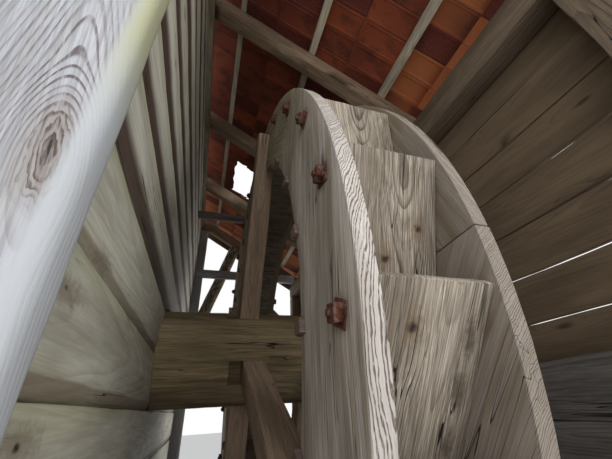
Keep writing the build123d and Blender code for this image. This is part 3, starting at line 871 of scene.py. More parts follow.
# %% [markdown]
# Between the shrouds stand the bucket boards: a sloping front, a riser and a sole board for
# each bucket. They repeat round the wheel, some with notches for the arms. So each kind is
# worn once and copied by turning, and every copy gets another stretch of grain.

# %% The boards between the shrouds
FRONT_KNOTS = (Vector((0.074, -1.596, 1.893)), Vector((-0.034, -1.562, 1.803)),
               Vector((-0.06, -1.650, 1.60)))
WET_STREAKS = (Vector((0.098, -1.640, 1.585)), Vector((0.090, -1.560, 1.478)),
               Vector((0.084, -1.480, 1.372)))


def front_stains(tree, base, _):
    """The knots and the dark wet streak of the two fronts that face the open end."""
    wet = times(tree, near_point(tree, WET_STREAKS, 0.095, (2.8, 1.0, 1.0)), 0.75)
    base = blend(tree, wet, base, colour(78, 64, 54))
    around = times(tree, near_point(tree, FRONT_KNOTS, 0.048, (1.0, 0.6, 0.6)), 0.7)
    base = blend(tree, around, base, colour(116, 96, 74))
    return blend(tree, near_point(tree, FRONT_KNOTS, 0.023, (1.0, 0.8, 1.2)), base, colour(52, 40, 32))


BUCKET_WOOD = timber("bucket_wood", colour(176, 167, 154), colour(84, 70, 58), colour(134, 121, 102),
                     ring=0.0042, contrast=0.85, tinted=0.8, fibre=1.0, cracks=1.0, knots=0.7, relief=0.0026,
                     pith=(0.12, -0.10), wobble=0.09, blotch=0.8, streak=150.0, stains=front_stains)


def longest_edge(piece):
    """The direction of the longest straight edge of a board."""
    ends = [[piece.data.vertices[index].co for index in edge.vertices] for edge in piece.data.edges]
    first, last = max(ends, key=lambda pair: (pair[0] - pair[1]).length)
    return (first - last).normalized()


def turned_set(node, name, slot, material, step, corner, waves, marks, along=None):
    """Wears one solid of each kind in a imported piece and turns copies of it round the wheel."""
    kinds = {}
    for part in parts_of(node):
        kind = (len(part.data.vertices), round(middle_of(part).x, 3))
        kinds.setdefault(kind, []).append(part)
    made = []
    for like in kinds.values():
        angles = [angle_of(middle_of(part)) for part in like]
        first = like[0]
        for part in like[1:]:
            bpy.data.objects.remove(part)
        run = along or longest_edge(first)
        across = X_AXIS if abs(run.dot(X_AXIS)) < 0.5 else round_shaft(angles[0])
        slice_up(first, run, step)
        slice_up(first, across, step)
        wear(first, corner, waves, marks)
        lay_grain(first, run, across)
        made += copies(first, [turned(angle - angles[0]) for angle in angles])
    return finish_piece(join(made, name), name, "wheel", slot, material, node)


turned_set("bucket_fronts", "bucket_front_boards", "bucket_wood", BUCKET_WOOD,
           step=0.05, corner=0.004, waves=0.004, marks=0.004)
turned_set("bucket_risers", "bucket_riser_boards", "bucket_wood", BUCKET_WOOD,
           step=0.06, corner=0.003, waves=0.003, marks=0.002)
turned_set("sole_boards", "drum_boards", "bucket_wood", BUCKET_WOOD,
           step=0.08, corner=0.003, waves=0.003, marks=0.002, along=X_AXIS)

# %% [markdown]
# On each side of the wheel two long timbers cross in the shaft, and their ends lap over the
# shroud. The shaft is one big log, hewn to many sides, dark with damp. All are merged copies of
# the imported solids, cut into short lengths so that faces and corners can wave as hewn timber does.

# %% Arms and shaft
ARM_WOOD = timber("arm_wood", colour(190, 164, 142), colour(106, 84, 70), colour(160, 142, 122),
                  ring=0.007, contrast=0.65, tinted=0.7, fibre=0.5, cracks=0.8, knots=0.6, relief=0.0018,
                  pith=(0.02, -0.05), taper=0.06)
SHAFT_WOOD = timber("shaft_wood", colour(166, 146, 116), colour(86, 68, 50), colour(130, 120, 86),
                    ring=0.016, contrast=0.45, tinted=0.7, fibre=0.65, cracks=1.0, knots=0.3, relief=0.004)
SHAFT_STEP = 0.06
for side in ("left", "right"):
    turned_set(side + "_arms", side + "_wheel_arms", "wheel_wood", ARM_WOOD,
               step=0.09, corner=0.006, waves=0.006, marks=0.005)

shaft = copy_of("shaft", "wheel_shaft")
slice_up(shaft, X_AXIS, SHAFT_STEP)
wear(shaft, corner=0.008, waves=0.008, marks=0.004)
lay_grain(shaft, X_AXIS, Y_AXIS)
finish_piece(shaft, "wheel_shaft", "wheel", "shaft_wood", SHAFT_WOOD, "shaft")

# %% [markdown]
# The mill's wall is stacked planks, pale where the light reaches them. Each plank's foot is chamfered,
# with a brown band there and moss in the joint, and high on the wall the lower half of each plank is
# painted shade. The bands are painted by "place", so every plank has its own, whatever its height.

# %% The plank wall
PLANK_KNOTS = (Vector((-0.711, -1.481, 1.765)), Vector((-0.711, -1.623, 1.659)),
               Vector((-0.711, -1.600, 1.437)))
SHADED_FEET_FROM = 1.85
SHADED_FEET_FULL = 2.05


def damp_foot(tree, base, _):
    """A brown band on a plank's chamfer, painted shade on the planks high up, and dark moss where planks
    meet.
    """
    rough_edge = speckle(tree, fact(tree, "grain"), (3.0, 30.0, 30.0), 3.0, 0.6)
    parts = tool(tree, "SeparateXYZ", {0: fact(tree, "place")}).outputs
    height = times_plus(tree, rough_edge, 0.14, parts["Y"])
    inside = between(tree, parts["Z"], -0.3, 0.3)
    band = times(tree, between(tree, height, -0.56, -0.63), times(tree, inside, 0.62))
    damp = times(tree, between(tree, height, 0.55, 1.0), 0.35)
    upper = between(tree, part_of(tree, spot_on(tree), "Z"), SHADED_FEET_FROM, SHADED_FEET_FULL)
    moss = between(tree, height, -0.84, -0.93)
    top = times(tree, between(tree, height, 1.02, 1.08), 0.6)
    base = blend(tree, damp, base, colour(168, 168, 122))
    base = blend(tree, band, base, colour(116, 98, 74))
    # Painted shade: high on the wall the lower half of each plank's inner face is darkened.
    foot = times(tree, between(tree, height, 0.1, -0.45), inside)
    base = blend(tree, times(tree, upper, foot), base, colour(84, 68, 58))
    smudge = times(tree, near_point(tree, PLANK_KNOTS, 0.050, (1.0, 0.35, 1.0)), 0.55)
    base = blend(tree, smudge, base, colour(112, 94, 72))
    base = blend(tree, near_point(tree, PLANK_KNOTS, 0.010, (1.0, 0.6, 1.0)), base, colour(56, 42, 34))
    base = blend(tree, number(tree, "MAXIMUM", moss, top), base, colour(52, 50, 30))
    return base


PLANK_WOOD = timber("mill_plank_wood", colour(208, 206, 193), colour(150, 138, 118), colour(180, 175, 148),
                    ring=0.012, contrast=0.3, tinted=0.5, fibre=0.2, cracks=0.9, knots=0.3, relief=0.0010,
                    pith=(0.03, -0.06), taper=0.06, blotch=0.65, stains=damp_foot)
dressed("mill_planks", "mill_wall_planks", "mill_wood", PLANK_WOOD, Y_AXIS, Z_AXIS,
        step=0.07, corner=0.004, waves=0.008, marks=0.005, uneven=0.004)

# %% [markdown]
# The near jamb is the board closest to the eye, so it gets the grain that the photograph shows:
# arches that point up, one big knot low near the edge, and a smooth pale arris where hands and
# weather have rounded it. An image would blur so close to the eye. The rings that every timber
# has stay sharp, and here they bend round one chosen knot. The far jamb is the same kind of board.

# %% The jambs
JAMB_LEAN = 0.125
JAMB_KNOT = (-0.782, 0.023, 0.060)
JAMB_PITH = (0.022, -0.045)
JAMB_FLAME = (-0.64, 0.012)
KNOT_RING = 0.0045
ARRIS = 0.014
JAMB_STEP = 0.05


def from_mark(tree, along, across, shape):
    """How far a point is from a mark on a board, with the board's length counted less."""
    grain = fact(tree, "grain")
    wander = speckle(tree, grain, (18.0, 60.0, 60.0), 3.0, 0.6)
    length = length_of(tree, stretch(tree, plus(tree, grain, (-along, -across, 0.0)), shape))
    return times_plus(tree, wander, 0.020, number(tree, "SUBTRACT", length, 0.010))


def jamb_stains(tree, base, rings):
    """Dark arches above the knot, the brown knot, and the smooth pale right edge."""
    grain = fact(tree, "grain")
    broken = between(tree, speckle(tree, grain, (24.0, 260.0, 260.0), 3.0, 0.7), 0.30, 0.60)
    flame = between(tree, from_mark(tree, *JAMB_FLAME, (0.34, 1.0, 0.0)), 0.075, 0.015)
    lines = times(tree, between(tree, rings, 0.25, 0.75), broken)
    arches = times(tree, times(tree, flame, lines), 0.85)
    base = blend(tree, arches, base, colour(86, 72, 74))
    knot = from_mark(tree, *JAMB_KNOT[:2], (0.30, 1.0, 0.0))
    halo = times(tree, between(tree, knot, 0.032, 0.004), 0.5)
    base = blend(tree, halo, base, colour(124, 106, 88))
    turns = number(tree, "FRACT", number(tree, "DIVIDE", knot, KNOT_RING))
    turn_lines = times(tree, between(tree, turns, 0.35, 0.9), between(tree, knot, 0.026, 0.010))
    turn_lines = times(tree, turn_lines, broken)
    base = blend(tree, times(tree, turn_lines, 0.85), base, colour(74, 58, 48))
    core = times(tree, between(tree, knot, 0.007, 0.000), broken)
    base = blend(tree, core, base, colour(48, 38, 32))
    place = fact(tree, "place")
    across = part_of(tree, place, "Y")
    edge = times(tree, between(tree, across, 0.82, 0.90), 0.92)
    high_up = between(tree, part_of(tree, place, "X"), -0.52, -0.36)
    green = times(tree, high_up, between(tree, across, 0.80, 0.95))
    base = blend(tree, edge, base, colour(178, 181, 184))
    return blend(tree, times(tree, green, 0.75), base, colour(168, 166, 120))


JAMB_WOOD = timber("jamb_wood", colour(172, 174, 180), colour(120, 110, 110), colour(158, 156, 154),
                   ring=0.0060, contrast=0.35, tinted=0.5, fibre=0.5, cracks=0.0, knots=0.0, relief=0.0005,
                   pith=JAMB_PITH, taper=0.125, wobble=0.035, blotch=0.4, eye=JAMB_KNOT, stains=jamb_stains)


def jamb(node, name):
    """A jamb board with well rounded arrises, cut short along its length so that it can wave."""
    board = block(name, *packed_box(node))
    slice_up(board, Z_AXIS, JAMB_STEP)
    slice_up(board, X_AXIS, JAMB_STEP)
    wear(board, ARRIS, waves=0.006, marks=0.003, segments=3)
    lay_grain(board, Z_AXIS, X_AXIS, shifted=False, lean=JAMB_LEAN)
    return finish_piece(board, name, "house", "mill_wood", JAMB_WOOD, node)


jamb("near_jamb", "near_jamb_board")
jamb("far_jamb", "far_jamb_board")

# %% [markdown]
# Behind the planks stand posts, with the beam between them that the shaft's inner pin turns on,
# and on top lies the plate that carries the rafters. Posts and plate are hewn from an older,
# browner wood than the beam, which has gone grey and a little green. New cubes could stand in for
# them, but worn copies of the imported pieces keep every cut, such as the seat of the pin.

# %% Posts, plate and bearing of the mill wall
BEAM_WOOD = timber("beam_wood", colour(186, 178, 156), colour(118, 106, 86), colour(158, 152, 122),
                   ring=0.009, contrast=0.4, fibre=0.4, cracks=1.0, relief=0.002, blotch=0.6)
FRAME_WOOD = timber("mill_frame_wood", colour(150, 138, 116), colour(84, 70, 54), colour(128, 117, 92),
                    ring=0.009, contrast=0.45, fibre=0.5, cracks=1.0, relief=0.003)
dressed("mill_posts", "mill_wall_posts", "mill_wood", FRAME_WOOD, Z_AXIS, Y_AXIS,
        step=0.1, corner=0.006, waves=0.008, marks=0.006)
dressed("mill_plate", "mill_wall_plate", "mill_wood", FRAME_WOOD, Y_AXIS, X_AXIS,
        step=0.1, corner=0.006, waves=0.008, marks=0.006)
dressed("bearing_beam", "inner_bearing_beam", "dark_wood", BEAM_WOOD, Y_AXIS, Z_AXIS,
        step=0.1, corner=0.006, waves=0.004, marks=0.004)

# %% [markdown]
# The outer wall stands on two heavy sills, dark grey from splashes. Its boards are rough sawn
# with uneven edges, so slits of daylight show between them. Cut slits would look ruled, so each
# edge is drawn in by a slow wave instead, and the slits open and close along the wall.

# %% The outer wall
WANE = 0.006
WANE_LENGTH = (0.9, 1.7)
SAWN_CORNER = 0.009
BOARD_STEP = 0.07
BOARD_STAGGER = 0.003


def wane_edges(piece, depth):
    """Narrows each board here and there, as the edge of a log does, which opens slits of light."""
    points = points_of(piece.data)
    labels = islands(piece.data)
    for label in np.unique(labels):
        own = points[labels == label]
        low = own[:, 2].min()
        high = own[:, 2].max()
        side = (2.0 * own[:, 2] - low - high) / (high - low)
        for edge in (-1.0, 1.0):
            length = random.uniform(*WANE_LENGTH)
            turn = 2.0 * math.pi * own[:, 1] / length + random.uniform(-math.pi, math.pi)
            pull = depth * np.maximum(0.0, np.sin(turn)) * np.maximum(0.0, side * edge)
            own[:, 2] -= edge * pull
        points[labels == label] = own
    move_points(piece.data, points)


SILL_WOOD = timber("sill_wood", colour(112, 108, 104), colour(62, 58, 54), colour(88, 84, 78),
                   ring=0.011, contrast=0.5, fibre=0.55, cracks=1.0, knots=0.5, relief=0.003)
WALL_WOOD = timber("outer_board_wood", colour(124, 105, 84), colour(82, 68, 54), colour(106, 96, 74),
                   ring=0.014, contrast=0.3, tinted=0.3, fibre=0.12, cracks=0.3, knots=0.8, relief=0.001,
                   pith=(0.04, -0.05), taper=0.07, blotch=0.7)
POST_WOOD = timber("outer_post_wood", colour(130, 113, 95), colour(72, 58, 46), colour(108, 95, 78),
                   ring=0.010, contrast=0.45, fibre=0.5, cracks=1.0, relief=0.003)
for node, name in (("lower_sill", "lower_sill_beam"), ("upper_sill", "upper_sill_beam")):
    dressed(node, name, "dark_wood", SILL_WOOD, Y_AXIS, Z_AXIS,
            step=0.09, corner=0.012, waves=0.016, marks=0.010)
dressed("outer_posts", "outer_wall_posts", "dark_wood", POST_WOOD, Z_AXIS, Y_AXIS,
        step=0.09, corner=0.007, waves=0.008, marks=0.006)
dressed("outer_plate", "eaves_plate", "dark_wood", POST_WOOD, Y_AXIS, Z_AXIS,
        step=0.09, corner=0.010, waves=0.012, marks=0.008)
boards = copy_of("outer_boards", "outer_wall_boards")
slice_up(boards, Y_AXIS, BOARD_STEP)
slice_up(boards, Z_AXIS, BOARD_STEP)
wane_edges(boards, WANE)
stagger(boards, X_AXIS, BOARD_STAGGER)
wear(boards, SAWN_CORNER, waves=0.010, marks=0.004)
lay_grain(boards, Y_AXIS, Z_AXIS)
finish_piece(boards, "outer_wall_boards", "house", "dark_wood", WALL_WOOD, "outer_boards")
dressed("bearing_block", "outer_bearing_block", "dark_wood", POST_WOOD, Y_AXIS, Z_AXIS,
        step=0.05, corner=0.008, waves=0.004, marks=0.004)

# %% [markdown]
# Both walls stand on rubble: round fieldstones laid as they came. A dozen stones are shaped
# from cubes whose corners are pulled in unevenly, then rounded, subdivided and pushed into
# lumps. The stones are pale and freckled, with dark veins, and dark crumbs fill the wall's core.

# %% Stones
STONE_KINDS = 12
CORNER_PULL = (0.88, 1.0)
STONE_ROUNDING = (0.14, 0.24)
LUMP_SIZE = (0.35, 0.7)
LUMP_HEIGHT = 0.22


def stone_finish(name):
    """Grey-lilac fieldstone, each stone in its own tone, with freckles and thin dark veins."""
    material, tree = new_material(name)
    spot = spot_on(tree)
    tone = speckle(tree, fact(tree, "grain"), (1.0, 1.0, 1.0), 0.0)
    broad = speckle(tree, spot, (7.0, 7.0, 7.0), 4.0, 0.6)
    fine = speckle(tree, spot, (70.0, 70.0, 70.0), 3.0, 0.7)
    veins = tool(tree, "TexVoronoi", {"Vector": stretch(tree, spot, (9.0, 9.0, 14.0)), "Scale": 1.0},
                 feature="DISTANCE_TO_EDGE").outputs["Distance"]
    base = blend(tree, between(tree, tone, 0.35, 0.65), colour(196, 192, 198), colour(150, 146, 150))
    base = blend(tree, between(tree, broad, 0.42, 0.62), base, colour(122, 116, 112))
    base = blend(tree, times(tree, between(tree, fine, 0.50, 0.68), 0.5), base, colour(214, 212, 216))
    base = blend(tree, times(tree, between(tree, veins, 0.02, 0.0), 0.35), base, colour(86, 80, 78))
    height = times_plus(tree, fine, 0.35, broad)
    height = times_plus(tree, between(tree, veins, 0.02, 0.0), -0.3, height)
    finish_material(tree, base, times_plus(tree, fine, 0.15, 0.78), height, 0.006)
    return material


def core_finish(name):
    """The dark crumbs of mortar and earth behind the stones."""
    material, tree = new_material(name)
    crumbs = speckle(tree, spot_on(tree), (40.0, 40.0, 40.0), 4.0, 0.7)
    base = blend(tree, crumbs, colour(60, 54, 48), colour(104, 96, 84))
    finish_material(tree, base, 0.95, crumbs, 0.006)
    return material


def shape_stone(index):
    """A rounded stone that fills a one-metre cube, to be stretched into its place."""
    stone = block("stone_shape", (-0.5, -0.5, -0.5), (0.5, 0.5, 0.5))
    for vertex in stone.data.vertices:
        vertex.co *= random.uniform(*CORNER_PULL)
    edit_all(stone)
    bpy.ops.mesh.bevel(offset=random.uniform(*STONE_ROUNDING), segments=2, affect="EDGES")
    bpy.ops.mesh.subdivide(number_cuts=1, smoothness=0.6)
    leave_edit()
    lumps = stone.modifiers.new("lumps", "DISPLACE")
    lumps.texture = clouds("stone_lumps_" + str(index), random.uniform(*LUMP_SIZE))
    lumps.texture_coords = "LOCAL"
    lumps.mid_level = NO_PUSH
    lumps.strength = LUMP_HEIGHT
    apply_all(stone)
    low, high = box_of(stone)
    for vertex in stone.data.vertices:
        vertex.co = Vector([(vertex.co[i] - low[i]) / (high[i] - low[i]) - 0.5 for i in range(3)])
    return stone


STONE_SHAPES = [shape_stone(index) for index in range(STONE_KINDS)]
print(len(STONE_SHAPES), "kinds of stone are shaped")

# %% [markdown]
# Every place in a course gets a copy of one of these stones, turned over or end for end and
# stretched to its own length. Each wall has two leaves of stones, one for each face. Behind
# them lies a dark core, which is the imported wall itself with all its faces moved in.

# %% The rubble walls
COURSE_HEIGHT = (0.15, 0.25)
STONE_LENGTH = (0.17, 0.42)
STONE_OVERLAP = 1.05
STONE_TILT = 0.06
TONE_REACH = (50.0, 50.0, 50.0)
COURSE_WOBBLE = 0.012
WALL_HEAD = 0.01
CORE_SETBACK = 0.045


def lay_stone(low, high):
    """A copy of one of the stones, stretched from one corner of its place to the other."""
    low = Vector(low)
    high = Vector(high)
    mesh = random.choice(STONE_SHAPES).data.copy()
    flips = [random.choice((-1.0, 1.0)) * STONE_OVERLAP * (high[i] - low[i]) for i in range(3)]
    mesh.transform(Matrix.Diagonal((*flips, 1.0)))
    if flips[0] * flips[1] * flips[2] < 0:
        mesh.flip_normals()
    mesh.transform(Matrix.Rotation(random.uniform(-STONE_TILT, STONE_TILT), 4, "X"))
    mesh.transform(Matrix.Translation((low + high) / 2))
    tone = mesh.attributes.new("grain", "FLOAT_VECTOR", "POINT")
    tone.data.foreach_set("vector", np.tile(somewhere(TONE_REACH), len(mesh.vertices)))
    return put_in("stone", mesh)


def cuts(low, high, least, most):
    """Uneven steps from low to high."""
    marks = [low]
    while high - marks[-1] > most:
        marks.append(marks[-1] + random.uniform(least, most))
    if high - marks[-1] < least and len(marks) > 1:
        marks.pop()
    return marks + [high]


def lay_courses(low, high, top_right):
    """Stones in two leaves from the ground up, along a right face that may lean in to its top."""
    middle = (low.x + top_right) / 2
    stones = []
    levels = cuts(low.z, high.z, *COURSE_HEIGHT)
    for floor_z, top_z in zip(levels, levels[1:]):
        share = ((floor_z + top_z) / 2 - low.z) / (high.z - low.z)
        right = high.x + (top_right - high.x) * share
        for left_x, right_x in ((low.x, middle), (middle, right)):
            places = cuts(low.y, high.y, *STONE_LENGTH)
            for start, end in zip(places, places[1:]):
                wobble = random.uniform(-COURSE_WOBBLE, COURSE_WOBBLE) if low.z < floor_z else 0.0
                stones.append(lay_stone((left_x, start, floor_z + wobble), (right_x, end, top_z + wobble)))
    return stones


def rubble(node, name):
    """The stones of one wall, flat underneath where they sit on the ground, and its core."""
    low, high = packed_box(node)
    corners = [vertex.co for vertex in frame["nodes"][node].data.vertices]
    top_right = max(corner.x for corner in corners if corner.z > high.z - WALL_HEAD)
    stones = join(lay_courses(low, high, top_right), name)
    for vertex in stones.data.vertices:
        vertex.co.z = max(vertex.co.z, low.z)
    finish_piece(stones, name, "house", "fieldstone", STONE, node)
    core = copy_of(node, name + "_core")
    edit_all(core)
    bpy.ops.transform.shrink_fatten(value=-CORE_SETBACK)
    leave_edit()
    finish_piece(core, name + "_core", "house", "fieldstone", CORE)


STONE = stone_finish("fieldstone")
CORE = core_finish("rubble_core")
rubble("mill_base", "mill_wall_stones")
rubble("outer_base", "outer_wall_stones")
for shape in STONE_SHAPES:
    bpy.data.objects.remove(shape)

# %% [markdown]
# The roof is seen from below, so its underside matters most. The rafters are hewn, brown and
# full of drying cracks, and the laths are thin sawn strips that stayed pale. The grain runs down
# the slope in the rafters and barge boards, and along the shed in the laths. The slope is read
# from the longest edge of a packed rafter, so that it needn't be typed in.

# %% Rafters, laths and barge boards
ROOF_WOOD = timber("rafter_wood", colour(156, 134, 112), colour(84, 65, 51), colour(134, 115, 92),
                   ring=0.009, contrast=0.5, fibre=0.5, cracks=1.0, knots=0.5, relief=0.003)
LATH_WOOD = timber("lath_wood", colour(212, 203, 184), colour(140, 122, 98), colour(190, 178, 150),
                   ring=0.006, contrast=0.4, fibre=0.5, cracks=0.6)
BARGE_WOOD = timber("barge_wood", colour(122, 108, 106), colour(64, 54, 54), colour(104, 92, 84),
                    ring=0.009, contrast=0.45, fibre=0.5, cracks=1.0, relief=0.003)
# The level rail's pale bluish white is painted light, from daylight at the open far end.
RAIL_WOOD_PAINTED_LIT = timber("rail_wood", colour(190, 196, 206), colour(112, 110, 114), colour(168, 170, 168),
                   ring=0.007, contrast=0.45, fibre=0.5, cracks=0.8)

sample = copy_of("near_verge_rafter", "rafter_sample")
DOWN_SLOPE = longest_edge(sample)
bpy.data.objects.remove(sample)
if DOWN_SLOPE.x < 0.0:
    DOWN_SLOPE = -DOWN_SLOPE
OFF_ROOF = DOWN_SLOPE.cross(Y_AXIS)
for node, name in (("near_verge_rafter", "near_end_rafter"), ("rafters", "middle_rafters"),
                   ("far_verge_rafter", "far_end_rafter")):
    dressed(node, name, "roof_wood", ROOF_WOOD, DOWN_SLOPE, Y_AXIS,
            step=0.09, corner=0.006, waves=0.012, marks=0.008)
for side in ("near", "far"):
    dressed(side + "_barge_board", side + "_barge_plank", "roof_wood", BARGE_WOOD, DOWN_SLOPE, OFF_ROOF,
            step=0.09, corner=0.003, waves=0.010, marks=0.004)
dressed("laths", "roof_laths", "roof_wood", LATH_WOOD, Y_AXIS, DOWN_SLOPE,
        step=0.09, corner=0.002, waves=0.005, marks=0.003)
dressed("far_rail", "level_rail", "roof_wood", RAIL_WOOD_PAINTED_LIT, X_AXIS, Z_AXIS,
        step=0.07, corner=0.005, waves=0.008, marks=0.004)
dressed("collar_tie", "short_collar_tie", "roof_wood", BARGE_WOOD, X_AXIS, Z_AXIS,
        step=0.07, corner=0.005, waves=0.006, marks=0.004)

# %% [markdown]
# The leaning strut is a young tree used whole, with its bark on. The ridges of the bark are too
# fine to model, so cells drawn out along the pole give them their colour and bump, with grey
# lichen over them. The pole itself isn't quite straight: the long waves of its wear bend it.

# %% The bark-covered strut
POLE_STEP = 0.08


def bark_finish(name):
    """Ridged grey-brown bark with pale lichen."""
    material, tree = new_material(name)
    grain = fact(tree, "grain")
    ridges = tool(tree, "TexVoronoi", {"Vector": stretch(tree, grain, (9.0, 48.0, 48.0)), "Scale": 1.0},
                  feature="DISTANCE_TO_EDGE").outputs["Distance"]
    plates = between(tree, ridges, 0.0, 0.28)
    grit = speckle(tree, grain, (60.0, 160.0, 160.0), 4.0, 0.7)
    lichen = speckle(tree, grain, (6.0, 14.0, 14.0), 4.0, 0.65)
    base = blend(tree, plates, colour(88, 76, 62), colour(182, 170, 148))
    base = blend(tree, between(tree, lichen, 0.55, 0.66), base, colour(200, 200, 184))
    base = blend(tree, times(tree, between(tree, grit, 0.60, 0.40), 0.4), base, colour(96, 82, 66))
    finish_material(tree, base, 0.9, times_plus(tree, grit, 0.3, plates), 0.006)
    return material


pole = copy_of("far_strut", "leaning_strut")
POLE_RUN = longest_edge(pole)
slice_up(pole, POLE_RUN, POLE_STEP)
wear(pole, corner=0.004, waves=0.022, marks=0.008)
lay_grain(pole, POLE_RUN, Y_AXIS)
finish_piece(pole, "leaning_strut", "house", "roof_wood", bark_finish("strut_bark"), "far_strut")

# %% [markdown]
# Each tile was fired to a red of its own, and lichen grows on the weather side. On the undersides
# of some tiles near the eaves and the open far end, a paler orange is painted light where daylight
# falls in. The lit strip by the eaves is measured from the plate that the rafters' feet lie on. One
# material colours all the tiles: it reads each tile's red from the stretch of grain that the tile gets by
# chance.

# %% Fired clay
LIT_STRIP_WIDTH = 0.15
LIT_STRIP_FROM = packed_box("outer_plate")[0].x - LIT_STRIP_WIDTH
FAR_LIT_FROM = 0.8


def clay_finish(name):
    """Fired clay: each tile its own red, painted light on undersides near the openings, lichen on the
    weather side.
    """
    material, tree = new_material(name)
    grain = fact(tree, "grain")
    tone = speckle(tree, stretch(tree, grain, (1.0, 0.02, 0.02)), (0.9, 0.9, 0.9), 0.0)
    smear = speckle(tree, grain, (5.0, 9.0, 9.0), 4.0, 0.6)
    grit = speckle(tree, grain, (150.0, 150.0, 150.0), 3.0, 0.7)
    spots = speckle(tree, grain, (16.0, 16.0, 16.0), 4.0, 0.6)
    through = part_of(tree, fact(tree, "place"), "Z")
    weather_side = between(tree, through, 0.2, 0.7)
    base = blend(tree, between(tree, tone, 0.30, 0.62), colour(158, 80, 50), colour(104, 48, 38))
    base = blend(tree, times(tree, between(tree, smear, 0.45, 0.68), 0.7), base, colour(70, 38, 32))
    base = blend(tree, times(tree, between(tree, grit, 0.52, 0.70), 0.35), base, colour(176, 116, 84))
    spot = tool(tree, "SeparateXYZ", {0: spot_on(tree)}).outputs
    ragged = times_plus(tree, smear, 0.05, spot["X"])
    far_end = times(tree, between(tree, spot["Y"], FAR_LIT_FROM, FAR_LIT_FROM + 0.5), 0.7)
    eaves = times(tree, between(tree, ragged, LIT_STRIP_FROM, LIT_STRIP_FROM + 0.05), 0.7)
    eaves = times(tree, eaves, between(tree, ragged, LIT_STRIP_FROM + 0.36, LIT_STRIP_FROM + 0.30))
    lower_face = between(tree, through, 0.2, -0.1)
    eaves = times(tree, number(tree, "MAXIMUM", eaves, far_end), between(tree, tone, 0.66, 0.46))
    # Painted light: a paler orange on some tiles' undersides near the eaves and the open far end.
    base = blend(tree, times(tree, eaves, lower_face), base, colour(186, 112, 68))
    lichen = times(tree, between(tree, spots, 0.54, 0.62), weather_side)
    base = blend(tree, times(tree, lichen, 0.75), base, colour(150, 148, 122))
    finish_material(tree, base, 0.85, times_plus(tree, grit, 0.5, smear), 0.0025)
    return material


CLAY = clay_finish("roof_clay")
print("The tiles are painted_lighter from", round(LIT_STRIP_FROM, 2), "m on, towards the eaves")

# %% [markdown]
# Clay tiles lie in rows over the laths, each row's tail on the heads of the row below. One tile
# is modelled, with the sunk panel that stiffens it on both faces. A few tiles are gone. What
# fills their hole is a prism with uneven sides, which takes its bite out of the tiles round it.

# %% One tile and the hole
TILE_THICKNESS = 0.018
TILE_EDGE = 0.0025
PANEL_RIM = 0.014
PANEL_SINK = 0.004
BREAK_STEP = 0.055
BREAK_DEPTH = 0.011


def sink_panel(tile, up):
    """Sinks a rimmed panel into the upper or lower face of a tile."""
    edit_all(tile, "FACE")
    bpy.ops.mesh.select_all(action="DESELECT")
    bpy.ops.object.mode_set(mode="OBJECT")
    for face in tile.data.polygons:
        face.select = face.normal.z * up > 0.9 and face.area > 0.02
    bpy.ops.object.mode_set(mode="EDIT")
    bpy.ops.mesh.inset(thickness=PANEL_RIM, depth=0.0)
    bpy.ops.mesh.inset(thickness=PANEL_SINK, depth=-PANEL_SINK)
    leave_edit()


def model_tile(length, width):
    """A tile that lies on the ground with its upper end at the origin."""
    tile = block("tile", (0.0, -width / 2, 0.0), (length, width / 2, TILE_THICKNESS))
    sink_panel(tile, 1.0)
    sink_panel(tile, -1.0)
    wear(tile, TILE_EDGE, waves=0.0, marks=0.0)
    return tile


def hole_cutter(low, high, bottom, top):
    """A prism as wide as the hole, whose sides are as uneven as broken tiles."""
    corners = [Vector((low.x, low.y)), Vector((high.x, low.y)),
               Vector((high.x, high.y)), Vector((low.x, high.y))]
    outline = []
    for start, end in zip(corners, corners[1:] + corners[:1]):
        count = max(2, round((end - start).length / BREAK_STEP))
        for index in range(count):
            point = start.lerp(end, index / count)
            slip = Vector((random.uniform(-1.0, 1.0), random.uniform(-1.0, 1.0))) * BREAK_DEPTH
            outline.append(point + slip)
    mesh = bpy.data.meshes.new("hole")
    mesh.from_pydata([(point.x, point.y, bottom) for point in outline], [], [range(len(outline))])
    cutter = put_in("hole", mesh)
    edit_all(cutter, "FACE")
    bpy.ops.mesh.extrude_region_move(TRANSFORM_OT_translate={"value": (0.0, 0.0, top - bottom)})
    bpy.ops.mesh.select_all(action="SELECT")
    bpy.ops.mesh.normals_make_consistent(inside=False)
    leave_edit()
    return cutter


def break_off(tile, cutter):
    """Takes away what lies in the hole. True while something of the tile is left."""
    bite = tile.modifiers.new("bite", "BOOLEAN")
    bite.object = cutter
    bite.solver = "EXACT"
    apply_all(tile)
    return len(tile.data.polygons) > 0


print("A tile is", TILE_THICKNESS, "m thick")

# %% [markdown]
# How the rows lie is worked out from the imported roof: its edges and its hole, and the laths,
# which carry every second row. A tile leans a little less than the roof, because its tail lies
# on the head of the next. Matrices bring a tile that lies flat onto the slope.

# %% How the tiles lie
TILE_LAP = 0.070
TILE_COLUMNS = 29
TILE_GAP = 0.0008
ROWS_PER_LATH = 2
ROOF_EDGE = 0.001
VERGE_EDGE = 0.01
roof = copy_of("roof_tiles", "roof_size")
roof_low, roof_high = box_of(roof)
foot_z = min(v.co.z for v in roof.data.vertices if v.co.x < roof_low.x + ROOF_EDGE)
rim = [v.co.copy() for v in roof.data.vertices
       if roof_low.y + VERGE_EDGE < v.co.y < roof_high.y - VERGE_EDGE]
bpy.data.objects.remove(roof)
hole_low = Vector([min(point[i] for point in rim) for i in range(2)])
hole_high = Vector([max(point[i] for point in rim) for i in range(2)])
strips = parts_of("laths")
lath_places = sorted(middle_of(strip).x for strip in strips)
for strip in strips:
    bpy.data.objects.remove(strip)
tile_pitch = (roof_high.y - roof_low.y) / TILE_COLUMNS
tile_gauge = (lath_places[1] - lath_places[0]) / ROWS_PER_LATH / DOWN_SLOPE.x
tile_length = tile_gauge + TILE_LAP
